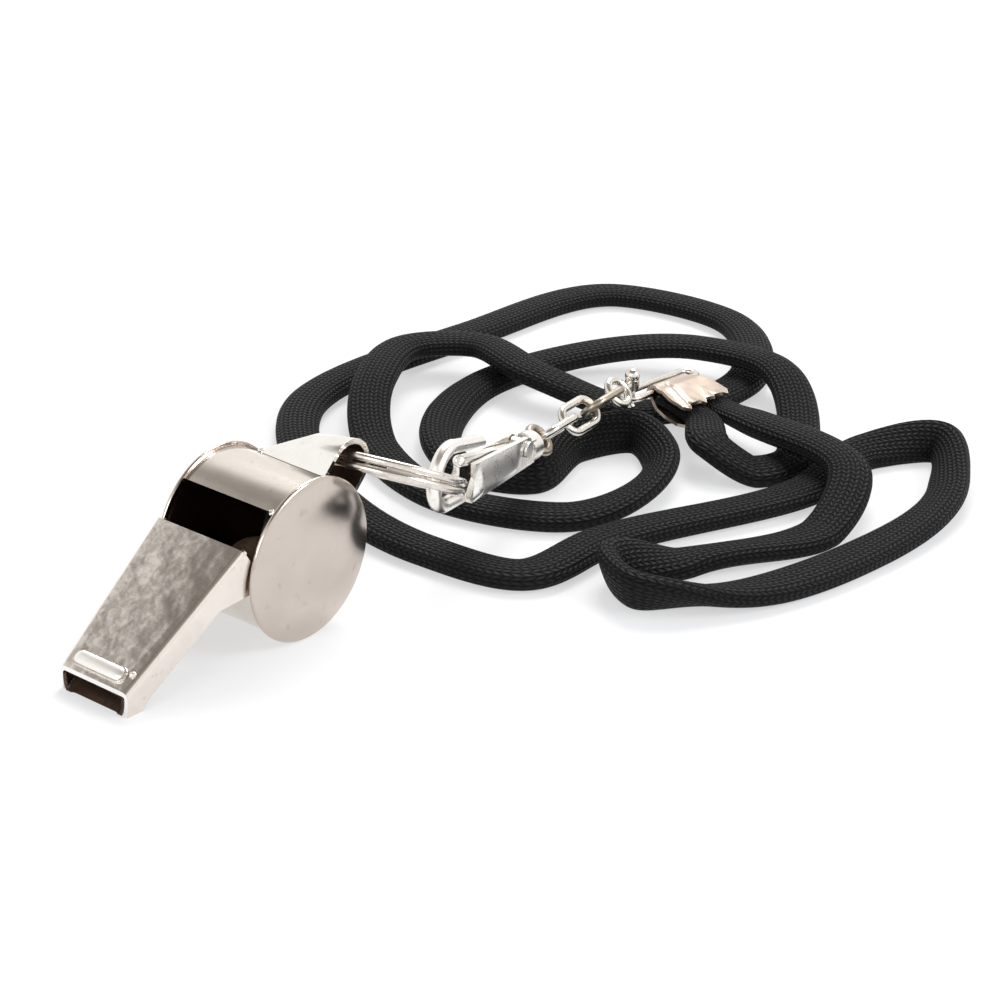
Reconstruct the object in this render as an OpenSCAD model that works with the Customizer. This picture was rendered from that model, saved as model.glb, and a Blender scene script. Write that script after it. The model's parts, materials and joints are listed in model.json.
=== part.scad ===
/* [Barrel] */
// Radius of the two round side cheeks
cheek_r = 11; // [9.5:0.5:12.5]
// Width of the barrel's band, between the cheeks
band_w = 15; // [13:0.5:17]
// How far the band lies inside the cheeks' rims
band_inset = 0.6; // [0.4:0.1:1]
// How far a cheek bulges out past the band
cheek_bulge = 1.5; // [1:0.1:2]
// Radius of a cheek's flat centre
cheek_flat_r = 7.6; // [6:0.2:8.6]
// Thickness of the whistle's sheet metal
sheet_t = 0.5; // [0.35:0.05:0.6]
// Angle of the lip, forward of the roof's own normal
lip_lead = 1.5; // [0:0.5:4]
// Gap left by the solder between two sheets
solder_gap = 0.05; // [0.03:0.01:0.1]

/* [Mouthpiece] */
// Slope of the mouthpiece's roof
roof_slope = 35; // [32:1:38]
// Height of the roof's front edge above the table
tip_h = 3.3; // [3:0.1:4]
// Gap of the sound window, along the roof
window_gap = 6.7; // [5.5:0.1:7.5]
// Width of the roof at its front edge
tip_w = 11.5; // [10:0.5:13]
// Width of the roof at the window
throat_w = 14.8; // [13:0.1:14.9]
// Depth of the side flanges, square to the roof
flange_depth = 3.6; // [3.4:0.1:4.2]
// Radius of the fold between roof and flange
fold_r = 0.9; // [0.7:0.1:1.2]
// Radius of the floor's rounded corners
floor_r = 1.7; // [1.2:0.1:2]
// Height of the air slot where it leaves the windway
slot_h = 1.3; // [1:0.1:1.5]
// Width of the raised bite bar, across the roof
bite_w = 8.4; // [6:0.2:9]
// Length of the bite bar along the roof
bite_l = 2.2; // [1.6:0.2:3]
// Height of the bite bar
bite_h = 0.4; // [0.2:0.1:0.6]

/* [Pea] */
// Radius of the cork pea
pea_r = 4.7; // [3.5:0.1:5]
// Gap between the pea and the barrel's wall
pea_gap = 0.3; // [0.2:0.05:0.5]
// How far the pea lies to the left of the middle
pea_side = 1; // [-2:0.5:2]

/* [Ring lug] */
// Angle of the lug behind the top of the barrel
lug_angle = 44; // [38:1:50]
// Height of the lug's open end above the band
lug_h = 6.4; // [6:0.1:7.5]
// Half width of the lug's open end
lug_half_w = 3.8; // [3.4:0.1:4.5]
// Thickness of the lug's sheet
lug_t = 0.6; // [0.5:0.05:0.8]
// Length of the whole lug along the barrel
lug_l = 11.5; // [10:0.5:13]
// Length of the part that is closed all round the ring
lug_arch_l = 5.5; // [4:0.5:6]
// Height of the lug's low end above the band
lug_low_h = 0.9; // [0.7:0.1:1.5]

/* [Split ring] */
// Radius of the ring, to the middle of its wire
ring_r = 9.4; // [8.6:0.2:10.4]
// Diameter of the ring's wire
ring_wire = 1.2; // [1:0.05:1.3]
// Gap between the ring's two turns
ring_gap = 0.1; // [0.05:0.05:0.3]

/* [Snap hook] */
// From the ring to the middle of the swivel's eye
hook_l = 29.5; // [28:0.5:34]
// Diameter of the round wire of the hook's bow
bow_wire = 2; // [1.6:0.1:2.2]
// Radius of the bow, to the middle of its wire
bow_r = 4; // [3.8:0.1:4.4]
// From the ring to the tip of the hook's nose
nose_l = 9.6; // [8:0.2:10.5]
// Width of the hook's shank, across the slot
shank_w = 3.3; // [3.1:0.1:4]
// Width of the slot that the gate folds into
shank_slot = 1.7; // [1.5:0.1:1.8]
// Radius of the gate's rivet
rivet_r = 0.65; // [0.5:0.05:0.7]
// Thickness of the gate, across the slot
gate_t = 1.3; // [1:0.05:1.3]
// Radius of the ball on the gate's free end
gate_ball_r = 0.85; // [0.7:0.05:0.9]
// Radius of the swivel's stem
stem_r = 0.8; // [0.6:0.05:0.9]
// Running clearance of pins and stems in their holes
running_gap = 0.05; // [0.03:0.01:0.08]

/* [Chain] */
// Length of a link, between the middles of its end wires
link_l = 8; // [7:0.2:9]
// Width of a link, between the middles of its side wires
link_w = 4; // [3.8:0.1:4.6]
// Diameter of the links' wire
link_wire = 1.2; // [1:0.05:1.3]
// Radius of the swivel's and the knob's eyes, to the middle of the wire
eye_r = 2; // [1.9:0.1:2.3]
// Play between two links
link_play = 0.15; // [0.1:0.05:0.3]
// Height of the chain above the table
chain_z = 9; // [8.5:0.5:11]

/* [Wire loop and clamp] */
// Length of the wire loop, between the middles of its end wires
loop_l = 18; // [15:0.5:20]
// Width of the wire loop, between the middles of its side wires
loop_w = 2.8; // [2.6:0.1:3.4]
// Diameter of the loop's wire
loop_wire = 1.1; // [0.9:0.1:1.2]
// Radius of the ball on the knob
knob_ball_r = 1.15; // [0.9:0.05:1.4]
// Width of the clamp at its toothed edge
clamp_w = 12; // [11.6:0.2:13]
// Length of the clamp's two plates
clamp_l = 7.4; // [6:0.2:9]
// Thickness of the clamp's sheet
clamp_t = 0.5; // [0.4:0.05:0.7]

/* [Cord] */
// Width of the flat cord
cord_w = 6.5; // [5.5:0.1:6.5]
// Thickness of the flat cord
cord_t = 3; // [2.4:0.1:3]

/* [Hidden] */
$fn = 64;
// One overrun serves every cut
overrun = 1;
// Thickness of the slices that a hull runs between
slice_t = 0.02;
// Steps of a rounded corner
corner_steps = 5;

// Barrel, from the axis of the cheeks
band_r = cheek_r - band_inset;
chamber_r = band_r - sheet_t;
cheek_y = band_w / 2 + solder_gap;
cheek_steps = 8;

// Mouthpiece, in the roof's own frame: x runs up the roof, z stands square to it
roof_reach = (cheek_r * (1 + cos(roof_slope)) - tip_h) / sin(roof_slope);
front_x = -roof_reach * cos(roof_slope) - cheek_r * sin(roof_slope);
floor_depth = flange_depth - sheet_t / 2;
floor_top = cheek_r - floor_depth + sheet_t;
floor_angle = acos((floor_top - sheet_t / 4) / band_r);
insert_top = cheek_r - sheet_t - slot_h;
// Places along the mouthpiece, as shares of the roof's reach
flange_root_share = 0.32;
flange_neck_share = 0.47;
flange_heel_share = 0.93;
insert_toe_share = 0.88;
insert_bend_share = 0.62;
// Depth of the flange at its root, as a share of its depth along the roof
flange_root_depth_share = 1.7;
flange_tip_depth_share = 1.5;
// The bite bar lies a little behind the roof's front edge
bite_back = 0.7;
bite_side = 0.25;

// Ring lug: its three stations along the barrel, its low end leaning forward
lug_y = -band_w / 2 + 1;
lug_mid_share = 0.84;
lug_mid_half_share = 1;
lug_low_half_share = 0.4;
lug_low_lean = -1.4;
lug_eye_h = lug_h / 2;
lug_eye_share = 0.6;

// Row frame: the whistle's own box is centred on the origin and stands on the table
lug_rear_x = (band_r + lug_h - lug_half_w) * sin(lug_angle) + lug_half_w;
barrel_x = -(front_x + max(cheek_r, lug_rear_x)) / 2;

// Direction along a piece that is turned by yaw and tips down by pitch, and its own upward direction
function along(yaw, pitch) = [cos(pitch) * cos(yaw), cos(pitch) * sin(yaw), -sin(pitch)];
function upward(yaw, pitch) = [sin(pitch) * cos(yaw), sin(pitch) * sin(yaw), cos(pitch)];

// Split ring: from the lug's eye down to the hook
ring_yaw = -23;
ring_roll = -16;
ring_far_z = 13.4;
ring_stack = 2 * ring_wire + ring_gap;
ring_ramp = 50;
ring_sides = 8;
ring_step = 15;
lug_eye = [
    barrel_x + (band_r + lug_eye_h) * sin(lug_angle),
    lug_y + lug_eye_share * lug_arch_l,
    cheek_r + (band_r + lug_eye_h) * cos(lug_angle)
];
ring_pitch = asin((lug_eye[2] - ring_far_z) / (2 * ring_r));
ring_middle = lug_eye + ring_r * along(ring_yaw, ring_pitch);
ring_far = lug_eye + 2 * ring_r * along(ring_yaw, ring_pitch);

// Snap hook, in its own frame: x runs from the ring to the swivel, z is up, y goes across the shank
hook_yaw = 12;
hook_play = 0.25;
bow_x = -0.8;
bow_z = 2.3;
hook_seat = bow_z - bow_r + (bow_wire + ring_stack) / 2 + hook_play;
hook_pitch = asin((ring_far_z - hook_seat - chain_z) / hook_l);
hook_at = ring_far - hook_seat * upward(hook_yaw, hook_pitch);
nose_tilt = 9;
nose_wire_share = 0.94;
nose_sunk = 0.3;
// Places along the hook, as shares of its length
wall_share = 0.15;
pivot_share = 0.73;
pocket_share = 0.8;
socket_share = 0.895;
pivot = [pivot_share * hook_l, 0.9];
eye_wire = link_wire;
boss_r = 1.7;
socket_r = 2.2;
pocket_r = 1.45;
gate_ball = [2.4, 3.6];
gate_h = 1.2;
gate_eye_r = 1.45;
rivet_head_r = 1.2;
rivet_head_h = 0.4;
spring_t = 0.25;
spring_lift = 0.45;

// Chain: each piece starts where the one before it ends
chain_yaw = 5;
link_step = link_l - link_wire - link_play;
eye_reach = eye_r - eye_wire / 2 - link_wire / 2 - link_play;
swivel_eye = hook_at + hook_l * along(hook_yaw, hook_pitch);
link_a_at = swivel_eye + (eye_reach + link_l / 2) * along(chain_yaw, 0);
link_b_at = link_a_at + link_step * along(chain_yaw, 0);
link_c_at = link_b_at + link_step * along(chain_yaw, 0);
knob_eye = link_c_at + (eye_reach + link_l / 2) * along(chain_yaw, 0);
link_roll = 45;

// Knob: a headed pin through the wire loop's end, with two clenched legs
knob_r = 1.1;
knob_pin_r = 0.6;
knob_body_h = 1.6;
knob_drop = 1.8;
knob_neck = 1;
knob_leg_l = 1.1;
knob_leg_r = 0.45;
knob_leg_tilt = 35;
knob_at = knob_eye + (eye_r + knob_neck + knob_r) * along(chain_yaw, 0);

// Wire loop: it leaves the knob level and tips down towards its far end
loop_pitch = 4;
loop_play = 0.1;
loop_at = knob_at + [-knob_pin_r - loop_wire / 2 - loop_play, 0, -knob_drop]
    + loop_l / 2 * along(0, loop_pitch);

// Clamp: folded round the loop's near side, its plates leading down to the cord
clamp_pitch = 14;
clamp_fold_share = 0.85;
clamp_along = 0.5;
end_t_share = 0.7;
end_w_share = 0.88;
clamp_gap = 0.3;
clamp_inner = end_t_share * cord_t + 2 * clamp_gap;
fold_out_r = clamp_inner / 2 + clamp_t;
tooth_count = 6;
tooth_depth = 0.9;
clamp_at = loop_at + [clamp_along, -loop_w / 2, -clamp_along * sin(loop_pitch)];

module at_roof() {
    translate([barrel_x, 0, cheek_r])
        rotate([0, -roof_slope, 0])
            children();
}

module at_lug() {
    translate([barrel_x, 0, cheek_r])
        rotate([0, lug_angle, 0])
            children();
}

module place(at, yaw, pitch, roll = 0) {
    translate(at)
        rotate([0, pitch, yaw])
            rotate([roll, 0, 0])
                children();
}

// Points of an arc, from one angle to another
function arc(middle, r, from, to, steps) = [
    for (i = [0 : steps])
        let (a = from + (to - from) * i / steps)
            middle + r * [cos(a), sin(a)]
];

// Half width of the mouthpiece's roof at a place along it
function half_width(u) =
    tip_w / 2 + (throat_w - tip_w) / 2 * (u + roof_reach) / (roof_reach - window_gap);

// Slice across the mouthpiece with round corners at its top and its bottom
module mouth_slice(u, inset, low, high, top_r, low_r) {
    half = half_width(u) - inset;
    translate([u, 0, 0])
        rotate([90, 0, 90])
            linear_extrude(slice_t)
                polygon(concat(
                    arc([half - top_r, high - top_r], top_r, 0, 90, corner_steps),
                    arc([top_r - half, high - top_r], top_r, 90, 180, corner_steps),
                    arc([low_r - half, low + low_r], low_r, 180, 270, corner_steps),
                    arc([half - low_r, low + low_r], low_r, 270, 360, corner_steps)
                ));
}

// Tapered box along the mouthpiece, between two slices
module mouth_box(from, to, inset, low, high, top_r, low_r) {
    hull() {
        mouth_slice(from, inset, low, high, top_r, low_r);
        mouth_slice(to - slice_t, inset, low, high, top_r, low_r);
    }
}

// Outline in the roof's frame, carried right across the whistle
module across(width) {
    rotate([90, 0, 0])
        linear_extrude(width, center = true)
            children();
}

// What lies in front of the mouth's upright face or below the table
module outside_mouth() {
    reach = 2 * roof_reach;
    translate([barrel_x + front_x - reach, -reach / 2, -reach / 2])
        cube(reach);
    translate([-reach, -reach, -2 * reach])
        cube(2 * reach);
}

module cheek() {
    rim = cheek_r - cheek_flat_r;
    inner_rim = chamber_r - cheek_flat_r;
    rise = cheek_bulge - sheet_t;
    outer = [
        for (i = [0 : cheek_steps])
            let (a = 90 - 90 * i / cheek_steps)
                [cheek_flat_r + rim * cos(a), sheet_t + rise * sin(a)]
    ];
    inner = [
        for (i = [0 : cheek_steps])
            let (a = 90 * i / cheek_steps)
                [cheek_flat_r + inner_rim * cos(a), rise * sin(a)]
    ];
    color("gainsboro")
        translate([barrel_x, 0, cheek_r])
            rotate([-90, 0, 0])
                translate([0, 0, cheek_y])
                    rotate_extrude()
                        polygon(concat([[0, cheek_bulge]], outer, [[cheek_r, 0]], inner, [[0, rise]]));
}

module cheek_left() {
    cheek();
}

module cheek_right() {
    mirror([0, 1, 0])
        cheek();
}

module barrel_band() {
    lip = 90 + lip_lead;
    end = 90 + floor_angle;
    far = 2 * band_r;
    inset = sheet_t + solder_gap;
    color("silver")
        difference() {
            at_roof() {
                across(band_w)
                    difference() {
                        circle(band_r);
                        circle(chamber_r);
                        polygon([
                            [0, 0],
                            far * [cos(lip), sin(lip)],
                            far * [cos(end), sin(end)]
                        ]);
                    }
                difference() {
                    mouth_box(-roof_reach - flange_depth, -window_gap + sheet_t, inset,
                        cheek_r - floor_depth, cheek_r - inset, floor_r / 2, floor_r);
                    mouth_box(-roof_reach - flange_depth - overrun, -window_gap + overrun,
                        inset + sheet_t, floor_top, cheek_r + overrun, floor_r / 2, floor_r - sheet_t);
                    across(2 * band_w)
                        circle(chamber_r);
                }
            }
            outside_mouth();
        }
}

module mouthpiece_roof() {
    root_depth = flange_root_depth_share * flange_depth;
    tip_depth = flange_tip_depth_share * flange_depth;
    long = roof_reach + flange_depth;
    color("silver")
        difference() {
            at_roof() {
                difference() {
                    intersection() {
                        mouth_box(-long, -window_gap, 0, cheek_r - 2 * root_depth, cheek_r, fold_r, sheet_t);
                        across(2 * band_w)
                            polygon([
                                [-long - overrun, cheek_r + overrun],
                                [overrun - window_gap, cheek_r + overrun],
                                [overrun - window_gap, cheek_r - flange_depth],
                                [-flange_root_share * roof_reach, cheek_r - root_depth],
                                [-flange_neck_share * roof_reach, cheek_r - flange_depth],
                                [-flange_heel_share * roof_reach, cheek_r - flange_depth],
                                [-long - overrun, cheek_r - tip_depth]
                            ]);
                    }
                    mouth_box(-long - overrun, overrun - window_gap, sheet_t, cheek_r - 3 * root_depth,
                        cheek_r - sheet_t, fold_r - sheet_t, sheet_t);
                    across(2 * band_w)
                        circle(band_r + solder_gap);
                }
                translate([bite_back - roof_reach, bite_side, cheek_r - sheet_t / 2])
                    bite_bar();
            }
            outside_mouth();
        }
}

// Raised bar with round ends that the teeth rest behind
module bite_bar() {
    r = bite_l / 2;
    run = bite_w / 2 - r;
    translate([r, 0, 0])
        linear_extrude(bite_h + sheet_t / 2) {
            square([bite_l, 2 * run], center = true);
            for (side = [-1, 1])
                translate([0, side * run])
                    circle(r);
        }
}

module windway_insert() {
    low = floor_top + solder_gap;
    toe = -insert_toe_share * roof_reach;
    bend = -insert_bend_share * roof_reach;
    end = -window_gap - sheet_t;
    side = 2 * (sheet_t + solder_gap) + floor_r - sheet_t;
    color("silver")
        at_roof()
            intersection() {
                across(2 * band_w)
                    polygon([
                        [toe, low],
                        [bend, insert_top],
                        [end, insert_top],
                        [end, low],
                        [end - sheet_t, low],
                        [end - sheet_t, insert_top - sheet_t],
                        [bend, insert_top - sheet_t],
                        [toe + (bend - toe) / 2, low]
                    ]);
                linear_extrude(2 * cheek_r)
                    polygon([
                        [toe, half_width(toe) - side],
                        [end, half_width(end) - side],
                        [end, side - half_width(end)],
                        [toe, side - half_width(toe)]
                    ]);
            }
}

// Slice across the lug: an arch on two straight walls, to below the band
module lug_slice(y, half, top, lean, inset) {
    r = half - inset;
    middle = band_r + top - half;
    translate([0, y + slice_t, 0])
        rotate([90, 0, 0])
            linear_extrude(slice_t)
                polygon(concat(
                    arc([lean, middle], r, 0, 180, 4 * corner_steps),
                    [[lean - r, chamber_r - overrun], [lean + r, chamber_r - overrun]]
                ));
}

// The lug's hood: high and wide over the ring, low and narrow at its soldered end
module lug_hood(inset, run) {
    mid_y = lug_y + lug_arch_l;
    mid_half = lug_mid_half_share * lug_half_w;
    hull() {
        lug_slice(lug_y - run, lug_half_w, lug_h, 0, inset);
        lug_slice(mid_y, mid_half, lug_mid_share * lug_h, 0, inset);
    }
    hull() {
        lug_slice(mid_y, mid_half, lug_mid_share * lug_h, 0, inset);
        lug_slice(lug_y + lug_l, lug_low_half_share * lug_half_w, lug_low_h, lug_low_lean, inset);
    }
}

module ring_lug() {
    color("gainsboro")
        at_lug()
            difference() {
                lug_hood(0, 0);
                lug_hood(lug_t, overrun);
                rotate([90, 0, 0])
                    cylinder(h = 2 * band_w, r = band_r + solder_gap, center = true);
                translate([0, lug_y + lug_arch_l, band_r - lug_h])
                    cube([lug_h, lug_l, 3 * lug_h]);
            }
}

module pea() {
    color("chocolate")
        translate([barrel_x, pea_side, cheek_r - chamber_r + pea_r + pea_gap])
            sphere(pea_r);
}

// Closed tube through a list of rings that all have the same number of points
module tube(rings) {
    sides = len(rings[0]);
    last = len(rings) - 1;
    polyhedron(
        points = [for (ring = rings) for (p = ring) p],
        faces = concat(
            [[for (j = [0 : sides - 1]) sides - 1 - j]],
            [[for (j = [0 : sides - 1]) last * sides + j]],
            [
                for (i = [0 : last - 1])
                    for (j = [0 : sides - 1])
                        for (half = [0, 1])
                            let (k = (j + 1) % sides, a = i * sides, b = a + sides)
                                half == 0 ? [a + j, b + k, b + j] : [a + j, a + k, b + k]
            ]
        ),
        convexity = 10
    );
}

// Two turns of wire side by side; the first climbs to the second between their cut ends
function ring_climb(a) = min(1, max(0, (a - 360) / ring_ramp + 0.5)) - 0.5;

module split_ring() {
    pitch = ring_wire + ring_gap;
    color("silver")
        place(ring_middle, ring_yaw, ring_pitch, ring_roll)
            tube([
                for (a = [ring_ramp - 20 : ring_step : 740 - ring_ramp])
                    [
                        for (j = [0 : ring_sides - 1])
                            let (b = 360 * j / ring_sides, r = ring_r + ring_wire / 2 * cos(b))
                                [r * cos(a + 90), r * sin(a + 90),
                                    pitch * ring_climb(a) + ring_wire / 2 * sin(b)]
                    ]
            ]);
}

// Piece of round wire from one point to another in the plane across y, its end tapered
module wire_run(from, to, r, taper = 0) {
    run = to - from;
    translate([from[0], 0, from[1]])
        rotate([0, atan2(run[0], run[1]), 0])
            rotate_extrude()
                polygon([[0, 0], [r, 0], [r, norm(run)], [r - taper, norm(run) + taper], [0, norm(run) + taper]]);
}

module at_hook() {
    place(hook_at, hook_yaw, hook_pitch)
        children();
}

// Where the slot for the gate starts and ends, along its floor
slot_from = [wall_share * hook_l, bow_z - bow_r];
slot_to = [pivot[0], pivot[1] - gate_eye_r - spring_t - 2 * running_gap];
function slot_floor(share) = slot_from + share * (slot_to - slot_from);

module hook_body() {
    wire = bow_wire / 2;
    nose_from = [bow_x, bow_z] + bow_r * [sin(nose_tilt), cos(nose_tilt)];
    nose_dir = [cos(nose_tilt), -sin(nose_tilt)];
    nose_run = (nose_l - wire - nose_from[0]) / cos(nose_tilt);
    axis_z = bow_z - bow_r;
    wall_x = slot_from[0];
    socket_x = pocket_share * hook_l;
    socket_end = socket_share * hook_l;
    color("silver")
        at_hook()
            difference() {
                union() {
                    translate([bow_x, 0, bow_z])
                        rotate([90, 0, 0])
                            rotate_extrude(angle = 180 + nose_tilt, start = 90 - nose_tilt)
                                translate([bow_r, 0])
                                    circle(wire);
                    wire_run(nose_from - nose_sunk * nose_dir, nose_from + nose_run * nose_dir,
                        nose_wire_share * wire, wire / 2);
                    wire_run([bow_x, axis_z], [wall_x + wire, axis_z], wire);
                    across(shank_w)
                        polygon(concat(
                            [
                                [wall_x - wire, axis_z],
                                [wall_x, axis_z - 0.8 * wire],
                                [socket_x + wire, -boss_r],
                                [socket_x + wire, boss_r]
                            ],
                            arc(pivot, boss_r, 30, 100, corner_steps),
                            [
                                [wall_x, gate_ball[1] - gate_h / 2],
                                [wall_x + wire / 2, pivot[1]]
                            ]
                        ));
                    translate([socket_x, 0, 0])
                        rotate([0, 90, 0])
                            cylinder(h = socket_end - socket_x, r = socket_r);
                }
                across(shank_slot)
                    polygon([
                        [wall_x - bow_wire, pivot[1]],
                        slot_from,
                        slot_to,
                        [socket_x + overrun, slot_to[1]],
                        [socket_x + overrun, pivot[1] + 2 * boss_r],
                        [wall_x - bow_wire, gate_ball[1] + gate_h]
                    ]);
                translate([socket_x - overrun, 0, 0])
                    rotate([0, 90, 0])
                        cylinder(h = socket_end - socket_x - wire + overrun, r = pocket_r);
                translate([socket_x, 0, 0])
                    rotate([0, 90, 0])
                        cylinder(h = hook_l, r = stem_r + running_gap);
                translate([pivot[0], 0, pivot[1]])
                    rotate([90, 0, 0])
                        cylinder(h = 2 * shank_w, r = rivet_r + running_gap / 2, center = true);
            }
}

module hook_gate() {
    reach = pivot - gate_ball;
    tilt = atan2(reach[1], reach[0]);
    color("gainsboro")
        at_hook()
            difference() {
                union() {
                    translate([gate_ball[0], 0, gate_ball[1]]) {
                        sphere(gate_ball_r);
                        rotate([0, -tilt, 0])
                            translate([0, -gate_t / 2, -gate_h / 2])
                                cube([norm(reach), gate_t, gate_h]);
                    }
                    translate([pivot[0], 0, pivot[1]])
                        rotate([90, 0, 0])
                            cylinder(h = gate_t, r = gate_eye_r, center = true);
                }
                translate([pivot[0], 0, pivot[1]])
                    rotate([90, 0, 0])
                        cylinder(h = 2 * shank_w, r = rivet_r + running_gap, center = true);
            }
}

module gate_rivet() {
    half = shank_w / 2 + solder_gap;
    color("silver")
        at_hook()
            translate([pivot[0], 0, pivot[1]])
                rotate([90, 0, 0]) {
                    cylinder(h = 2 * half + rivet_head_h, r = rivet_r, center = true);
                    for (side = [-1, 1])
                        translate([0, 0, side * (half + rivet_head_h / 2)])
                            cylinder(h = rivet_head_h, r = rivet_head_r, center = true);
                }
}

// Leaf that lies on the slot's floor and lifts towards the gate
module gate_spring() {
    foot = slot_floor(0.9) + [0, running_gap];
    bend = slot_floor(0.55) + [0, running_gap];
    free = slot_floor(0.2) + [0, spring_lift];
    color("dimgray")
        at_hook()
            across(shank_slot - 4 * running_gap)
                polygon([
                    foot,
                    bend,
                    free,
                    free + [0, spring_t],
                    bend + [0, spring_t],
                    foot + [0, spring_t]
                ]);
}

// Round eye of wire, its hole across the piece's own y
module eye(r, wire) {
    rotate([90, 0, 0])
        rotate_extrude()
            translate([r, 0])
                circle(wire / 2);
}

module hook_swivel() {
    head_x = pocket_share * hook_l + running_gap * 4;
    head_l = bow_wire / 2;
    collar_x = socket_share * hook_l + running_gap * 4;
    color("darkgray")
        at_hook() {
            translate([head_x, 0, 0])
                rotate([0, 90, 0]) {
                    cylinder(h = hook_l - eye_r - head_x, r = stem_r);
                    cylinder(h = head_l, r = pocket_r - 4 * running_gap);
                }
            translate([collar_x, 0, 0])
                rotate([0, 90, 0])
                    cylinder(h = hook_l - eye_r - collar_x, r = stem_r + eye_wire / 2);
            translate([hook_l, 0, 0])
                rotate([-link_roll, 0, 0])
                    eye(eye_r, eye_wire);
        }
}

// Oval link of round wire, lying in its own plane across z
module oval(length, width, wire) {
    straight = length - width;
    for (side = [-1, 1]) {
        translate([side * straight / 2, 0, 0])
            rotate([0, 0, -90 * side])
                rotate_extrude(angle = 180)
                    translate([width / 2, 0])
                        circle(wire / 2);
        translate([-straight / 2, side * width / 2, 0])
            rotate([0, 90, 0])
                cylinder(h = straight, r = wire / 2);
    }
}

module chain_link_a() {
    color("silver")
        place(link_a_at, chain_yaw, 0, -link_roll)
            oval(link_l, link_w, link_wire);
}

module chain_link_b() {
    color("gainsboro")
        place(link_b_at, chain_yaw, 0, link_roll)
            oval(link_l, link_w, link_wire);
}

module chain_link_c() {
    color("darkgray")
        place(link_c_at, chain_yaw, 0, -link_roll)
            oval(link_l, link_w, link_wire);
}

module swivel_knob() {
    top = knob_body_h / 2 + knob_ball_r / 2;
    foot = knob_drop + loop_wire / 2 + loop_play + knob_leg_r / 2;
    color("gainsboro") {
        place(knob_eye, chain_yaw, 0, -link_roll)
            eye(eye_r, eye_wire);
        place(knob_eye + eye_r * along(chain_yaw, 0), chain_yaw, 0)
            rotate([0, 90, 0])
                cylinder(h = knob_neck + knob_r, r = knob_pin_r);
        translate(knob_at) {
            cylinder(h = knob_body_h, r = knob_r, center = true);
            translate([0, 0, top])
                sphere(knob_ball_r);
            translate([0, 0, -foot])
                cylinder(h = foot, r = knob_pin_r);
            for (side = [-1, 1])
                translate([0, side * knob_leg_r / 2, -foot])
                    rotate([side * (180 - knob_leg_tilt), 0, 0])
                        cylinder(h = knob_leg_l, r = knob_leg_r);
        }
    }
}

module wire_loop() {
    color("silver")
        place(loop_at, 0, loop_pitch)
            oval(loop_l, loop_w, loop_wire);
}

// The clamp's own frame: x along the fold, the plates lead off along -y and tip down
module at_clamp() {
    place(clamp_at, 0, loop_pitch, clamp_pitch)
        children();
}

module cord_clamp() {
    half_gap = clamp_inner / 2;
    fold_w = clamp_fold_share * clamp_w;
    pitch = clamp_w / tooth_count;
    color("tan")
        at_clamp()
            difference() {
                rotate([90, 0, 90])
                    linear_extrude(clamp_w, center = true)
                        difference() {
                            union() {
                                circle(fold_out_r);
                                translate([-clamp_l, -fold_out_r])
                                    square([clamp_l, 2 * fold_out_r]);
                            }
                            circle(half_gap);
                            translate([-clamp_l - overrun, -half_gap])
                                square([clamp_l + overrun, 2 * half_gap]);
                        }
                linear_extrude(4 * fold_out_r, center = true) {
                    for (side = [-1, 1])
                        polygon([
                            [side * clamp_w / 2, -clamp_l],
                            [side * fold_w / 2, 0],
                            [side * fold_w / 2, 2 * fold_out_r],
                            [side * clamp_w, 2 * fold_out_r],
                            [side * clamp_w, -clamp_l]
                        ]);
                    for (i = [0 : tooth_count - 1])
                        translate([(i + 0.5) * pitch - clamp_w / 2, -clamp_l])
                            polygon([[-pitch / 2, -tooth_depth / 4], [0, tooth_depth], [pitch / 2, -tooth_depth / 4]]);
                }
            }
}

// Cord: its two ends go into the clamp side by side, and the route leads from one to the other.
// Each point has x and y as the cord lies in the photo, its lift above what is under it, and its roll.
cord_home = [97.3, -10.1];
cord_route = [
    [98, -18, 3.5, 0], [92, -38, 3.4, 0], [78, -42, 0, 0], [57, -33, 0, 0],
    [47, -28, 0, 65], [43, -34, 0, 70], [51, -42, 0, 20], [76, -50, 0, 0],
    [104, -48, 0, 30], [115, -40, 0, 60], [107, -33, 0, 20], [89, -33, 0, 0],
    [54, -21, 0, 0], [39, -19, 0, 0], [36, -5, 0, 0], [61, 39, 0, 0],
    [104, 40, 0, 0], [136, 33, 0, 0], [139, 13, 0, 0], [117, -4, 0, 0],
    [96, 1, 0, 0], [90, 17, 3.6, 0], [93, 31, 3.7, 0], [86, 38, 3.5, 0],
    [72, 34, 3.2, 0], [58, 22, 0, 0], [51, 2, 0, 0], [58, -13, 0, 0],
    [82, -12, 0, 50], [86, -5, 0, 70], [78, 0, 0, 50], [64, -2, 0, 60],
    [61, 8, 0, 0], [86, 25, 0, 0], [118, 5, 3.3, 0], [119, -8, 3.5, 0],
    [105, -22, 0, 0], [96, -26, 0, 0], [89, -24, 0, 10], [87, -18, 3, 0]
];
cord_side = 3;
cord_sides = [[1, 0.4], [0.75, 1], [-0.75, 1], [-1, 0.4], [-1, -0.4], [-0.75, -1], [0.75, -1], [1, -0.4]];
cord_in_share = 0.2;
rings_per_run = 2;
clamp_mouth = in_clamp(0, -clamp_l);
cord_shift = [clamp_mouth[0] - cord_home[0], clamp_mouth[1] - cord_home[1], 0];

// Place in the middle of the clamp's gap, from its own x and y
function in_clamp(x, y) = clamp_at + [
    x * cos(loop_pitch) + y * sin(loop_pitch) * sin(clamp_pitch),
    y * cos(clamp_pitch),
    -x * sin(loop_pitch) + y * cos(loop_pitch) * sin(clamp_pitch)
];

// Half height of the flat cord when it is rolled about its own line
function cord_half_h(roll) =
    max([for (s = cord_sides) s[0] * cord_w / 2 * sin(roll) + s[1] * cord_t / 2 * cos(roll)]);

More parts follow.
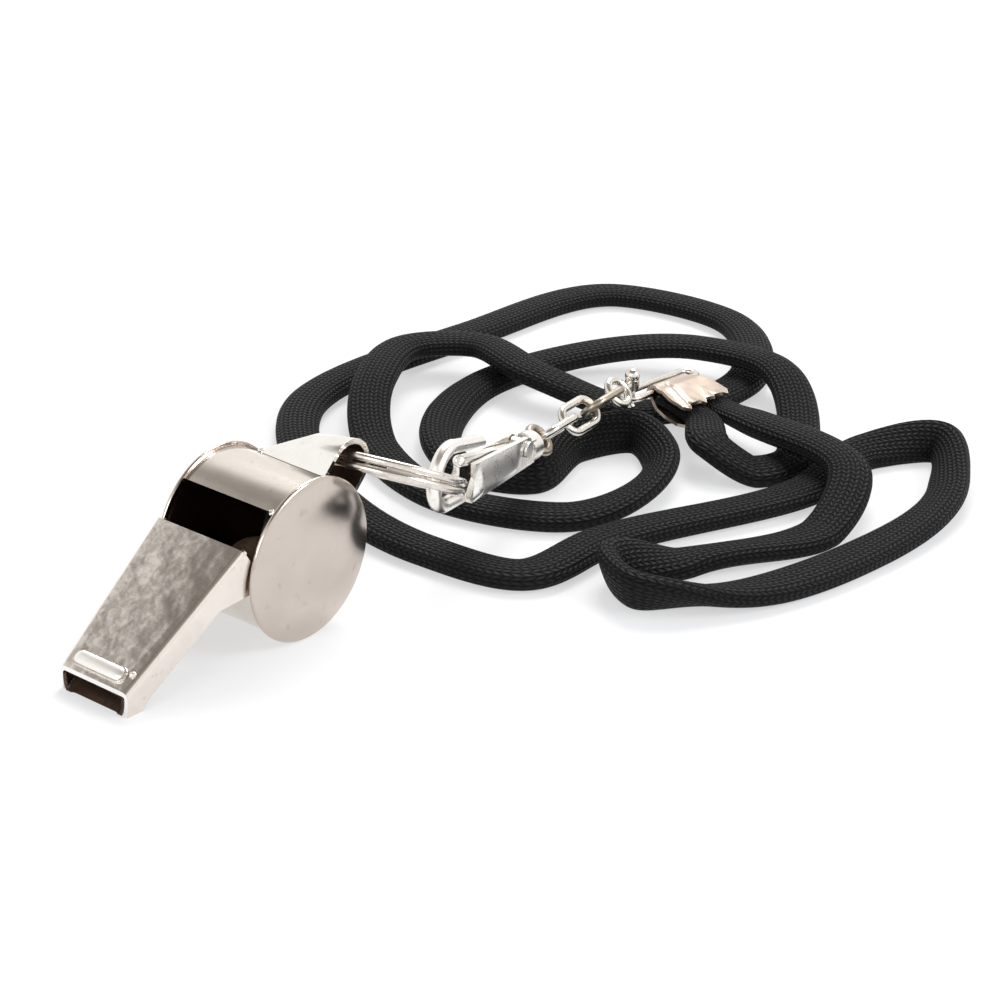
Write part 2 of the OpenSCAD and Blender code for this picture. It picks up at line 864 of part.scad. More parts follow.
// Knots of the path: x, y, lift and roll, with width and thickness as shares
function held(x, y) =
    let (p = in_clamp(x, y))
        [p[0], p[1], p[2] - end_t_share * cord_t / 2, sign(x) * loop_pitch, end_w_share, end_t_share];
cord_knots = concat(
    [held(cord_side, -cord_in_share * clamp_l), held(cord_side, -clamp_l - clamp_t)],
    [for (p = cord_route) concat(p + [cord_shift[0], cord_shift[1], 0, 0], [1, 1])],
    [held(-cord_side, -clamp_l - clamp_t), held(-cord_side, -cord_in_share * clamp_l)]
);

// Smooth path through the knots: its heading at a knot weighs the runs on both sides of it
cord_runs = [for (i = [0 : len(cord_knots) - 2]) norm(plan(cord_knots[i + 1]) - plan(cord_knots[i]))];
function plan(p) = [p[0], p[1]];
function cord_heading(i) =
    let (last = len(cord_knots) - 1, k = cord_knots)
        i == 0 ? (k[1] - k[0]) / cord_runs[0]
        : i == last ? (k[last] - k[last - 1]) / cord_runs[last - 1]
        : let (a = cord_runs[i - 1], b = cord_runs[i])
            (a * (k[i + 1] - k[i]) / b + b * (k[i] - k[i - 1]) / a) / (a + b);
function cord_state(i, t) =
    let (
        d = cord_runs[i],
        s = t * t * (3 - 2 * t),
        lead = t * (1 - t) * (1 - t) * d,
        trail = -t * t * (1 - t) * d,
        p = cord_knots[i] * (1 - s) + cord_knots[i + 1] * s
            + lead * cord_heading(i) + trail * cord_heading(i + 1)
    )
        [p[0], p[1], max(0, p[2]) + p[5] * cord_half_h(p[3]), p[3], p[4], p[5]];
cord_path = concat(
    [
        for (i = [0 : len(cord_runs) - 1])
            for (j = [0 : rings_per_run - 1])
                cord_state(i, j / rings_per_run)
    ],
    [cord_state(len(cord_runs) - 1, 1)]
);

// Flat oval ring square to the path
function cord_ring(i) =
    let (
        last = len(cord_path) - 1,
        p = cord_path[i],
        q = cord_path[min(last, i + 1)] - cord_path[max(0, i - 1)],
        ahead = [q[0], q[1], q[2]] / norm([q[0], q[1], q[2]]),
        flat = [ahead[1], -ahead[0], 0] / norm([ahead[0], ahead[1]]),
        up = cross(flat, ahead),
        side = flat * cos(p[3]) + up * sin(p[3]),
        top = up * cos(p[3]) - flat * sin(p[3])
    )
        [
            for (s = cord_sides)
                let (q = [p[0], p[1], p[2]] + s[0] * p[4] * cord_w / 2 * side + s[1] * p[5] * cord_t / 2 * top)
                    [q[0], q[1], max(0, q[2])]
        ];

module lanyard_cord() {
    color("black")
        tube([for (i = [0 : len(cord_path) - 1]) cord_ring(i)]);
}

cheek_left();
cheek_right();
barrel_band();
mouthpiece_roof();
windway_insert();
ring_lug();
pea();
split_ring();
hook_body();
hook_gate();
gate_rivet();
gate_spring();
hook_swivel();
chain_link_a();
chain_link_b();
chain_link_c();
swivel_knob();
wire_loop();
cord_clamp();
lanyard_cord();
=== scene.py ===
# %% [markdown]
# # A sports whistle on its lanyard
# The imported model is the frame: every solid piece of the whistle, the hook and the chain comes from
# it, in metres, already in its place. This lesson dresses that frame: a camera and a cord first,
# then the finishes, then the small things that only the eye needs.

# %% Load the frame
import json
import math

import bmesh
import bpy
import numpy as np
from mathutils import Matrix, Vector

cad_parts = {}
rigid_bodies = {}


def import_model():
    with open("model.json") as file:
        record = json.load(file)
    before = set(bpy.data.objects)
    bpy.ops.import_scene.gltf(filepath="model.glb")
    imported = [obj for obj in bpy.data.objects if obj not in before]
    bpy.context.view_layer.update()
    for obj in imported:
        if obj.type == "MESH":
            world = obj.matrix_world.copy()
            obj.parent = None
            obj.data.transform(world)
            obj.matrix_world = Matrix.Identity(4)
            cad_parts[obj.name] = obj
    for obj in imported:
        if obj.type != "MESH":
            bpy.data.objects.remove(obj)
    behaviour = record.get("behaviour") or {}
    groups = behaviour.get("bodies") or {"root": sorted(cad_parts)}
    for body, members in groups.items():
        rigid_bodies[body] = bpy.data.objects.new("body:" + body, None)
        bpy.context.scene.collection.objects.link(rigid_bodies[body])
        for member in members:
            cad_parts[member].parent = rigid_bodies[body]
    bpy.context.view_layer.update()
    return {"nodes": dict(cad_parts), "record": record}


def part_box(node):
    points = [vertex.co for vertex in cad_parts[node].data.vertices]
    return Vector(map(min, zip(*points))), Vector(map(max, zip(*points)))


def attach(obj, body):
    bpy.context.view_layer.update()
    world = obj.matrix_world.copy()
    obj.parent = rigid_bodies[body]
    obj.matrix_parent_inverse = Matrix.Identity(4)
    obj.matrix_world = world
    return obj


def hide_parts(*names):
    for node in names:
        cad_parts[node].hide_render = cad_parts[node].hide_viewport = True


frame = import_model()
MM = 0.001

# %% [markdown]
# ## Where the camera stands
# The photograph looks down on the whistle from in front of its mouthpiece and past its right cheek.
# A long lens keeps both round cheeks almost the same size. The camera could be turned with Euler
# angles or aimed by a constraint; here its three directions are built from an azimuth, a rise above
# the table and a small tilt, because each of those can be corrected by itself.

# %% Camera
cheek_low, cheek_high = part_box("cheek_right")
barrel = Vector(((cheek_low.x + cheek_high.x) / 2, 0, (cheek_low.z + cheek_high.z) / 2))
LENS, SENSOR = 93.6, 36.0
CLIP_NEAR, CLIP_FAR = 0.01, 20
CAMERA_TURN, CAMERA_RISE, CAMERA_TILT = (math.radians(a) for a in (-54, 24.9, 3.1))
# Metres from the barrel's middle to the lens
CAMERA_FROM_BARREL = Vector((-0.22276, -0.19866, 0.14535))

back = Vector((math.sin(CAMERA_TURN) * math.cos(CAMERA_RISE),
               -math.cos(CAMERA_TURN) * math.cos(CAMERA_RISE), math.sin(CAMERA_RISE)))
level = Vector((math.cos(CAMERA_TURN), math.sin(CAMERA_TURN), 0))
steep = back.cross(level)
right = level * math.cos(CAMERA_TILT) + steep * math.sin(CAMERA_TILT)
up = steep * math.cos(CAMERA_TILT) - level * math.sin(CAMERA_TILT)

camera = bpy.data.objects.new("camera", bpy.data.cameras.new("camera"))
bpy.context.scene.collection.objects.link(camera)
bpy.context.scene.camera = camera
camera.data.lens, camera.data.sensor_width = LENS, SENSOR
camera.data.clip_start, camera.data.clip_end = CLIP_NEAR, CLIP_FAR
camera.matrix_world = Matrix.Translation(barrel + CAMERA_FROM_BARREL) @ Matrix(
    (right, up, back)).transposed().to_4x4()
print("camera at", [round(c, 3) for c in camera.matrix_world.translation])

# %% [markdown]
# ## The cord's path
# The lanyard is one flat braid, and the whole of it lies in the photograph. Its path is a list of
# knots: where it lies, how high it is lifted over what is under it, and how far it is rolled onto
# its edge, as a flat braid does at a sharp fold. A Bezier curve could join them, but its handles
# would be as many more numbers; here the heading at each knot is worked out from the runs on both
# sides, so that long runs stay calm and short ones turn.

# %% Cord route
CORD_W, CORD_T = 6.5 * MM, 3.0 * MM
CORD_HOME = (97.3, -10.1)
# Millimetres along x and y and of lift, then degrees of roll
ROUTE = [
    (98, -18, 3.5, 0), (92, -38, 3.4, 0), (78, -42, 0, 0), (57, -33, 0, 0), (47, -28, 0, 65),
    (43, -34, 0, 70), (51, -42, 0, 20), (76, -50, 0, 0), (104, -48, 0, 30), (115, -40, 0, 60),
    (107, -33, 0, 20), (89, -33, 0, 0), (54, -21, 0, 0), (39, -19, 0, 0), (36, -5, 0, 0),
    (61, 39, 0, 0), (104, 40, 0, 0), (136, 33, 0, 0), (139, 13, 0, 0), (117, -4, 0, 0),
    (96, 1, 0, 0), (90, 17, 3.6, 0), (93, 31, 3.7, 0), (86, 38, 3.5, 0), (72, 34, 3.2, 0),
    (58, 22, 0, 0), (51, 2, 0, 0), (58, -13, 0, 0), (82, -12, 0, 50), (86, -5, 0, 70),
    (78, 0, 0, 50), (64, -2, 0, 60), (61, 8, 0, 0), (86, 25, 0, 0), (118, 5, 3.3, 0),
    (119, -8, 3.5, 0), (105, -22, 0, 0), (96, -26, 0, 0), (89, -24, 0, 10), (87, -18, 3, 0),
]
print("places on the route:", len(ROUTE))

# %% Ends in the clamp
# The two ends go into the clamp side by side, flattened and narrowed, so they follow its plates
LOOP_TIP, CLAMP_TIP = math.radians(4), math.radians(14)
CLAMP_AT = Vector((97.4053, -2.96128, 6.54329))
CLAMP_L, CLAMP_SHEET, END_SIDE, END_IN_SHARE = 7.4, 0.5, 3, 0.2
END_W_SHARE, END_T_SHARE = 0.88, 0.7


def in_clamp(x, y):
    return CLAMP_AT + Vector((
        x * math.cos(LOOP_TIP) + y * math.sin(LOOP_TIP) * math.sin(CLAMP_TIP),
        y * math.cos(CLAMP_TIP),
        -x * math.sin(LOOP_TIP) + y * math.cos(LOOP_TIP) * math.sin(CLAMP_TIP)))


def held_end(side, y):
    p = in_clamp(side * END_SIDE, y)
    low = p.z - END_T_SHARE * CORD_T / MM / 2
    return [p.x, p.y, low, side * math.degrees(LOOP_TIP), END_W_SHARE, END_T_SHARE]


mouth = in_clamp(0, -CLAMP_L)
shift = (mouth.x - CORD_HOME[0], mouth.y - CORD_HOME[1])
into, out = -END_IN_SHARE * CLAMP_L, -CLAMP_L - CLAMP_SHEET
knots = np.array(
    [held_end(1, into), held_end(1, out)]
    + [[x + shift[0], y + shift[1], lift, roll, 1, 1] for x, y, lift, roll in ROUTE]
    + [held_end(-1, out), held_end(-1, into)])
runs = np.linalg.norm(np.diff(knots[:, :2], axis=0), axis=1)
print("knots:", len(knots), "longest run:", round(runs.max(), 1), "mm")

# %% Smooth path
CORD_STEP = 0.42


def heading(i):
    if i == 0:
        return (knots[1] - knots[0]) / runs[0]
    if i == len(knots) - 1:
        return (knots[-1] - knots[-2]) / runs[-1]
    a, b = runs[i - 1], runs[i]
    return (a * (knots[i + 1] - knots[i]) / b + b * (knots[i] - knots[i - 1]) / a) / (a + b)


def cord_states(step):
    """Places along the smooth path, about one step apart in mm: x, y, lift, roll and two shares."""
    states = []
    for i, run in enumerate(runs):
        for t in np.arange(0, 1, 1 / max(2, round(run / step))):
            s = t * t * (3 - 2 * t)
            states.append(knots[i] * (1 - s) + knots[i + 1] * s
                          + t * (1 - t) ** 2 * run * heading(i)
                          - t * t * (1 - t) * run * heading(i + 1))
    return np.array(states + [knots[-1]])


states = cord_states(CORD_STEP)
print("rings:", len(states))

# %% How high it lies
# The braid is rounder than a rectangle and flatter than an ellipse
OVAL_POWER = 2.6
OVAL_REACH = OVAL_POWER / (OVAL_POWER - 1)


def half_height(roll):
    across = np.abs(CORD_W / 2 * np.sin(roll)) ** OVAL_REACH
    through = np.abs(CORD_T / 2 * np.cos(roll)) ** OVAL_REACH
    return (across + through) ** (1 / OVAL_REACH)


roll = np.radians(states[:, 3])
centres = states[:, :3] * MM
centres[:, 2] = np.maximum(0, centres[:, 2]) + states[:, 5] * half_height(roll)
gone = np.r_[0, np.cumsum(np.linalg.norm(np.diff(centres, axis=0), axis=1))]

# %% [markdown]
# ## The cord's skin
# Each ring of the tube is a soft flat oval, set square to the path and rolled with it. A curve
# with a bevel could draw it too, but here each ring has a roll and a width of its own, and its
# points are spaced by the length round the oval, so that the weave drawn on them later isn't
# stretched at the cord's edges.

# %% Oval section
CORD_SIDES, FINE_STEPS = 38, 2001


def oval(count):
    """Points of the oval, with equal steps round it, and the length round it."""
    a = np.linspace(0, 2 * np.pi, FINE_STEPS)
    shape = np.stack([np.sign(np.cos(a)) * np.abs(np.cos(a)) ** (2 / OVAL_POWER) * CORD_W / 2,
                      np.sign(np.sin(a)) * np.abs(np.sin(a)) ** (2 / OVAL_POWER) * CORD_T / 2], 1)
    run = np.r_[0, np.cumsum(np.linalg.norm(np.diff(shape, axis=0), axis=1))]
    at = np.linspace(0, run[-1], count + 1)[:-1]
    return np.stack([np.interp(at, run, shape[:, k]) for k in (0, 1)], 1), run[-1]


section, girth = oval(CORD_SIDES)
print("braid round the cord:", round(girth / MM, 1), "mm")

# %% Swept tube


def stand(name, mesh, *finishes):
    """An object of the mesh, put in the scene with its finishes in order."""
    made = bpy.data.objects.new(name, mesh)
    for finish in finishes:
        mesh.materials.append(finish)
    bpy.context.scene.collection.objects.link(made)
    return made


def sweep(name, middles, sides, tops, section):
    """A tube of quads: each middle gets the section, laid along its side and top directions."""
    rings = middles[:, None] + section[..., :1] * sides[:, None] + section[..., 1:] * tops[:, None]
    count, n = rings.shape[:2]
    i, j = np.meshgrid(np.arange(count - 1), np.arange(n), indexing="ij")
    k = (j + 1) % n
    quads = np.stack([i * n + j, i * n + k, (i + 1) * n + k, (i + 1) * n + j], -1).reshape(-1, 4)
    faces = [tuple(q) for q in quads.tolist()]
    faces += [tuple(range(n - 1, -1, -1)), tuple(range((count - 1) * n, count * n))]
    mesh = bpy.data.meshes.new(name)
    mesh.from_pydata(rings.reshape(-1, 3).tolist(), [], faces)
    mesh.shade_smooth()
    return stand(name, mesh), rings


def unit(v):
    return v / np.linalg.norm(v, axis=-1, keepdims=True)


ahead = unit(np.gradient(centres, axis=0))
flat = unit(np.stack([ahead[:, 1], -ahead[:, 0], np.zeros(len(ahead))], 1))
rise = np.cross(flat, ahead)
side = flat * np.cos(roll)[:, None] + rise * np.sin(roll)[:, None]
top = rise * np.cos(roll)[:, None] - flat * np.sin(roll)[:, None]
braid, rings = sweep("lanyard_braid", centres, side, top, section[None] * states[:, None, 4:6])
print("braid faces:", len(braid.data.polygons))


def wind_uv(piece, rings, along, around):
    """UVs in millimetres: u round the tube, v along it, with no jump where the ring closes."""
    count, n = rings.shape[:2]
    layer = piece.data.uv_layers.new(name="braid")
    u = np.tile(np.array([[0, 1, 1, 0]]), (n, 1)) + np.arange(n)[:, None]
    uv = np.zeros((count - 1, n, 4, 2))
    uv[..., 0] = u[None] * around / n / MM
    uv[..., :2, 1] = along[:-1, None, None] / MM
    uv[..., 2:, 1] = along[1:, None, None] / MM
    flat_uv = np.zeros(len(piece.data.loops) * 2)
    flat_uv[:uv.size] = uv.reshape(-1)
    layer.data.foreach_set("uv", flat_uv)


wind_uv(braid, rings, gone, girth)
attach(braid, "lanyard")
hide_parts("lanyard_cord")

# %% [markdown]
# ## The table, the white wall and the lamps
# The photograph is a product shot: a white table that runs into a white wall, with soft shadows.
# More light would make the table white, but it would burn out the nickel as well. So the lamps stay
# plain, and to the camera the table glows a little by itself while it still takes their shadows.
# Polished plating shows the room round it: the world is white near the table's level and a dim warm
# grey overhead, where a studio's ceiling is. That is the brown-grey of the roof plate.

# %% Node helpers


def add(tree, kind, inputs=None, **settings):
    """A node with its settings made and its inputs linked or filled in."""
    node = tree.nodes.new(kind)
    for key, value in settings.items():
        setattr(node, key, value)
    for key, value in (inputs or {}).items():
        if isinstance(value, bpy.types.NodeSocket):
            tree.links.new(value, node.inputs[key])
        else:
            node.inputs[key].default_value = value
    return node


def ramp(tree, value, stops):
    node = add(tree, "ShaderNodeValToRGB", {"Fac": value})
    for k, (place, colour) in enumerate(stops):
        stop = node.color_ramp.elements[k] if k < 2 else node.color_ramp.elements.new(place)
        stop.position, stop.color = place, colour
    return node.outputs["Color"]


def math_node(tree, how, a, b=0.0, clamp=False):
    return add(tree, "ShaderNodeMath", {0: a, 1: b}, operation=how, use_clamp=clamp).outputs[0]


def material(name):
    made = bpy.data.materials.new(name)
    made.use_nodes = True
    made.node_tree.nodes.clear()
    return made, made.node_tree


print("node helpers ready")

# %% World
CEILING = (0.275, 0.25, 0.23, 1)
WALL = (1.0, 0.985, 0.965, 1)
SKY = (0.93, 0.95, 1.0, 1)
WALL_UP_TO, CEILING_FROM, SKY_FILL = 0.71, 0.78, 0.55

world = bpy.data.worlds.new("studio")
bpy.context.scene.world = world
world.use_nodes = True
tree = world.node_tree
tree.nodes.clear()
ray = add(tree, "ShaderNodeLightPath")
where = add(tree, "ShaderNodeTexCoord").outputs["Generated"]
height = add(tree, "ShaderNodeSeparateXYZ", {"Vector": where}).outputs["Z"]
room = ramp(tree, height, [(0.0, WALL), (WALL_UP_TO, WALL), (CEILING_FROM, CEILING),
                           (1.0, CEILING)])
seen = math_node(tree, "MAXIMUM", ray.outputs["Is Camera Ray"],
                 ray.outputs["Is Transmission Ray"])
fill = add(tree, "ShaderNodeBackground", {"Color": SKY, "Strength": SKY_FILL})
mirror = add(tree, "ShaderNodeBackground", {"Color": room, "Strength": 1.0})
white = add(tree, "ShaderNodeBackground", {"Color": (1, 1, 1, 1), "Strength": 1.0})
shiny = add(tree, "ShaderNodeMixShader", {0: ray.outputs["Is Glossy Ray"], 1: fill.outputs[0],
                                          2: mirror.outputs[0]})
both = add(tree, "ShaderNodeMixShader", {0: seen, 1: shiny.outputs[0], 2: white.outputs[0]})
add(tree, "ShaderNodeOutputWorld", {"Surface": both.outputs[0]})
bpy.context.scene.view_settings.view_transform = "Standard"
print("world:", world.name)

# %% Table
FLOOR_SIDE = 6.0
TABLE_SHADES = (0.86, 0.86, 0.87, 1), (0.9, 0.9, 0.9, 1)
# Away from the object the lamps fade, so the glow grows there and the table runs into the wall
TABLE_GLOW, GLOW_NEAR, GLOW_FAR = 0.55, 0.25, 1.2

table_mat, tree = material("table_white")
ray = add(tree, "ShaderNodeLightPath")
spot = add(tree, "ShaderNodeTexCoord").outputs["Object"]
cloud = add(tree, "ShaderNodeTexNoise", {"Vector": spot, "Scale": 3.0, "Detail": 3.0})
tone = ramp(tree, cloud.outputs["Fac"], [(0.3, TABLE_SHADES[0]), (0.7, TABLE_SHADES[1])])
matt = add(tree, "ShaderNodeBsdfDiffuse", {"Color": tone})
glow = add(tree, "ShaderNodeEmission", {"Color": (1, 1, 1, 1), "Strength": 1.0})
far_off = add(tree, "ShaderNodeVectorMath", {0: spot}, operation="LENGTH").outputs["Value"]
glowing = add(tree, "ShaderNodeMapRange", {"Value": far_off, "From Min": GLOW_NEAR,
                                           "From Max": GLOW_FAR, "To Min": TABLE_GLOW})
seen = math_node(tree, "MAXIMUM", ray.outputs["Is Camera Ray"], math_node(
    tree, "MAXIMUM", ray.outputs["Is Glossy Ray"], ray.outputs["Is Transmission Ray"]))
share = math_node(tree, "MULTIPLY", seen, glowing.outputs[0])
mixed = add(tree, "ShaderNodeMixShader", {0: share, 1: matt.outputs[0], 2: glow.outputs[0]})
add(tree, "ShaderNodeOutputMaterial", {"Surface": mixed.outputs[0]})

half = FLOOR_SIDE / 2
sheet = bpy.data.meshes.new("table")
sheet.from_pydata([(-half, -half, 0), (half, -half, 0), (half, half, 0), (-half, half, 0)], [],
                  [(0, 1, 2, 3)])
stand("table", sheet, table_mat)
print("table", FLOOR_SIDE, "m")

# %% Lamps
MIDDLE = (0.05, 0, 0.01)


def lamp(name, place, size, watts, colour=(1, 1, 1)):
    """A soft box that looks at the middle of the part."""
    data = bpy.data.lights.new(name, "AREA")
    data.shape, data.size, data.size_y = "RECTANGLE", size[0], size[1]
    data.energy, data.color = watts, colour
    made = bpy.data.objects.new(name, data)
    made.location = place
    made.rotation_euler = (Vector(MIDDLE) - Vector(place)).to_track_quat("-Z", "Y").to_euler()
    bpy.context.scene.collection.objects.link(made)
    print("lamp:", name, watts, "W")


lamp("key", (0.55, 0.25, 0.75), (0.45, 0.45), 6.5, (1, 0.98, 0.96))
lamp("side", (0.35, -0.75, 0.6), (0.5, 0.4), 4.5, (0.97, 0.98, 1))
lamp("front", (-0.9, -0.1, 0.45), (0.4, 0.4), 3.0)

# %% [markdown]
# ## Finishes
# Bright nickel is never one even colour. It is thin over brass, so it looks warm; fingers and rings
# leave a haze on it that spreads the light, and the pressed sheet isn't quite flat. Each of these
# could be painted into an image, but noise worked out in the shader has no seams and stays sharp
# close up. Three effects are shared by every plated piece, so each is a node group that puts out
# masks or heights, and each finish mixes them itself.

# %% Group helpers


def group(name, inputs, outputs):
    made = bpy.data.node_groups.new(name, "ShaderNodeTree")
    for label, value in inputs.items():
        kind = "NodeSocketVector" if isinstance(value, tuple) else "NodeSocketFloat"
        made.interface.new_socket(label, in_out="INPUT", socket_type=kind).default_value = value
    for label in outputs:
        made.interface.new_socket(label, in_out="OUTPUT", socket_type="NodeSocketFloat")
    return made, made.nodes.new("NodeGroupInput"), made.nodes.new("NodeGroupOutput")


def use(tree, shared, **inputs):
    return add(tree, "ShaderNodeGroup", inputs, node_tree=shared)


def blend_colour(tree, share, a, b, how="MIX"):
    node = add(tree, "ShaderNodeMix", {0: share, 6: a, 7: b}, data_type="RGBA", blend_type=how)
    return node.outputs[2]


print("group helpers ready")

# %% Tarnish
HAZE_FROM, HAZE_TO = 0.35, 0.68
SPECK_FINER, SPECK_FROM, SPECK_TO = 5.0, 0.62, 0.72


def tarnish_group():
    """Broad clouds of haze, and a few dark specks that are finer."""
    tree, given, result = group("tarnish", {"Scale": 300.0, "Amount": 0.5, "Shift": 0.0},
                                ["Haze", "Spots"])
    spot = add(tree, "ShaderNodeTexCoord").outputs["Object"]
    moved = add(tree, "ShaderNodeVectorMath", {0: spot, 1: given.outputs["Shift"]}, operation="ADD")
    cloud = add(tree, "ShaderNodeTexNoise", {
        "Vector": moved.outputs[0], "Scale": given.outputs["Scale"], "Detail": 6.0,
        "Roughness": 0.62, "Distortion": 0.6})
    soft = add(tree, "ShaderNodeMapRange", {
        "Value": cloud.outputs["Fac"], "From Min": HAZE_FROM, "From Max": HAZE_TO},
        interpolation_type="SMOOTHSTEP")
    haze = math_node(tree, "MULTIPLY", soft.outputs[0], given.outputs["Amount"])
    finer = math_node(tree, "MULTIPLY", given.outputs["Scale"], SPECK_FINER)
    speck = add(tree, "ShaderNodeTexNoise", {"Vector": moved.outputs[0], "Scale": finer,
                                             "Detail": 3.0})
    few = add(tree, "ShaderNodeMapRange", {"Value": speck.outputs["Fac"], "From Min": SPECK_FROM,
                                           "From Max": SPECK_TO})
    spots = math_node(tree, "MULTIPLY", few.outputs[0], given.outputs["Amount"])
    tree.links.new(haze, result.inputs["Haze"])
    tree.links.new(spots, result.inputs["Spots"])
    return tree


tarnish = tarnish_group()
print("group:", tarnish.name)

# %% Rub marks and waves


def rub_group():
    """Fine lines, drawn out along y, where hands and cloths have rubbed."""
    tree, given, result = group("rub_marks", {"Scale": 900.0, "Stretch": (1.0, 8.0, 1.0)},
                                ["Marks"])
    spot = add(tree, "ShaderNodeTexCoord").outputs["Object"]
    long = add(tree, "ShaderNodeVectorMath", {0: spot, 1: given.outputs["Stretch"]},
               operation="DIVIDE")
    line = add(tree, "ShaderNodeTexNoise", {
        "Vector": long.outputs[0], "Scale": given.outputs["Scale"], "Detail": 8.0,
        "Roughness": 0.7})
    tree.links.new(line.outputs["Fac"], result.inputs["Marks"])
    return tree


def wave_group():
    """The slow waves of pressed sheet."""
    tree, given, result = group("sheet_waves", {"Scale": 120.0}, ["Height"])
    spot = add(tree, "ShaderNodeTexCoord").outputs["Object"]
    slow = add(tree, "ShaderNodeTexNoise", {"Vector": spot, "Scale": given.outputs["Scale"],
                                            "Detail": 2.0, "Roughness": 0.4})
    tree.links.new(slow.outputs["Fac"], result.inputs["Height"])
    return tree


rub, waves = rub_group(), wave_group()
print("groups:", rub.name, waves.name)

# %% [markdown]
# ## Plated sheet and wire
# One maker builds every plated finish from the three effects. Each piece could have its own nodes,
# but the real ones came out of the same bath: what differs is only how warm the metal is, how
# cloudy, how rough its haze and how wavy its sheet, and those are the maker's values.

# %% Plating
SPOT_SHARE, SPOT_SHADE = 0.5, 0.55
STREAK_ROUGH, RUB_DEPTH = 0.12, 0.0002


def plating(name, clean, dull, cloud=300.0, amount=0.5, shift=0.0, smooth=0.12, rough=0.32,
            wave=0.0, wave_scale=120.0, marks=0.02):
    """Nickel from a clean to a dull colour; wave is the sheet's unevenness in metres."""
    made, tree = material(name)
    stain = use(tree, tarnish, Scale=cloud, Amount=amount, Shift=shift)
    rubbed = use(tree, rub)
    wavy = use(tree, waves, Scale=wave_scale)
    colour = blend_colour(tree, stain.outputs["Haze"], (*clean, 1), (*dull, 1))
    spotted = math_node(tree, "MULTIPLY", stain.outputs["Spots"], SPOT_SHARE)
    colour = blend_colour(tree, spotted, colour, (*(SPOT_SHADE * c for c in dull), 1))
    spread = add(tree, "ShaderNodeMapRange", {"Value": stain.outputs["Haze"], "To Min": smooth,
                                              "To Max": rough})
    streak = math_node(tree, "MULTIPLY", rubbed.outputs["Marks"], STREAK_ROUGH)
    roughness = math_node(tree, "ADD", spread.outputs[0], streak, clamp=True)
    fine = add(tree, "ShaderNodeBump", {"Height": rubbed.outputs["Marks"], "Strength": marks,
                                        "Distance": RUB_DEPTH})
    bent = add(tree, "ShaderNodeBump", {"Height": wavy.outputs["Height"], "Strength": 1.0,
                                        "Distance": wave, "Normal": fine.outputs[0]})
    shader = add(tree, "ShaderNodeBsdfPrincipled", {"Base Color": colour, "Roughness": roughness,
                                                    "Metallic": 1.0, "Normal": bent.outputs[0]})
    add(tree, "ShaderNodeOutputMaterial", {"Surface": shader.outputs[0]})
    return made


print("shared by every plated finish:", tarnish.name, rub.name, waves.name)

# %% Finish of each piece
FINISHES = {
    "cheek": plating("cheek_nickel", (0.60, 0.53, 0.48), (0.54, 0.475, 0.425), cloud=90.0,
                     amount=0.6, smooth=0.1, rough=0.2, wave=0.0001, wave_scale=60.0,
                     marks=0.01),
    "band": plating("band_nickel", (0.82, 0.77, 0.71), (0.70, 0.64, 0.58), cloud=200.0, amount=0.4,
                    smooth=0.08, rough=0.2, wave=0.0001, wave_scale=80.0),
    "roof": plating("roof_nickel", (0.68, 0.635, 0.59), (0.42, 0.37, 0.325), cloud=850.0,
                    amount=0.85, shift=0.3, smooth=0.14, rough=0.28, wave=0.0002,
                    wave_scale=350.0, marks=0.15),
    # A paler copy of the roof's nickel: painted highlight on the roof's flanges and the mouth's floor
    # strip
    "flange": plating("flange_nickel_painted_highlight", (0.84, 0.775, 0.72), (0.74, 0.675, 0.61), cloud=160.0,
                      rough=0.24, wave=0.0001, wave_scale=70.0),
    "lug": plating("lug_nickel", (0.95, 0.93, 0.90), (0.86, 0.82, 0.77), amount=0.4, smooth=0.01,
                   rough=0.1, wave=0.0001),
    "ring": plating("ring_nickel", (0.78, 0.74, 0.69), (0.52, 0.46, 0.41), cloud=420.0, amount=0.6,
                    rough=0.3),
    "hook": plating("hook_nickel", (0.93, 0.91, 0.87), (0.82, 0.78, 0.72), cloud=260.0, amount=0.4,
                    smooth=0.2, rough=0.34, wave=0.00008),
    # Dark metal of the swivel; on chain link C the same finish is painted shade
    "swivel": plating("swivel_metal", (0.46, 0.41, 0.34), (0.26, 0.22, 0.17), cloud=500.0,
                      amount=0.8, smooth=0.25, rough=0.5),
    "link": plating("link_nickel", (0.80, 0.77, 0.72), (0.56, 0.51, 0.45), cloud=450.0, rough=0.3),
    "clamp": plating("clamp_sheet", (0.50, 0.42, 0.36), (0.38, 0.31, 0.26), cloud=260.0, amount=0.6,
                     smooth=0.25, rough=0.45, wave=0.0005),
    # Whiter, rougher nickel as a painted highlight on the bite bar and the lip of the mouth
    "bead": plating("bead_nickel_painted_highlight", (0.95, 0.93, 0.90), (0.86, 0.83, 0.79), cloud=500.0, amount=0.4,
                    smooth=0.3, rough=0.45),
    # Dull brown brass, painted near black as shade for the chamber, the cheeks' cups, the insert, the
    # roof's underside and the lug's hood
    "inside": plating("inside_brown_painted_shade", (0.11, 0.07, 0.05), (0.05, 0.03, 0.025), cloud=200.0,
                      amount=0.8, smooth=0.3, rough=0.55),
    "spring": plating("spring_steel", (0.42, 0.41, 0.40), (0.28, 0.26, 0.24), smooth=0.25,
                      rough=0.4),
    "solder": plating("solder", (0.90, 0.88, 0.84), (0.55, 0.50, 0.44), cloud=900.0, smooth=0.14,
                      rough=0.4, wave=0.0003, wave_scale=900.0),
}
print("plated finishes:", len(FINISHES))

# %% [markdown]
# ## The braid
# A flat braid looks knitted: columns of small V shapes run along it, each V made of two slanted
# stitches. Real threads would need millions of faces, so the pattern is worked out from the braid
# UV map, and it turns and rolls with the cord. Across a column, each half is one rounded stitch;
# along it, the stitches follow each other at a slant. The same height darkens the gaps, because no
# light reaches the bottom of a weave.

# %% Weave
STITCH_COLUMN, STITCH_STEP, STITCH_SLANT = 1.35, 1.0, 0.62
STITCH_FULLNESS = 0.6


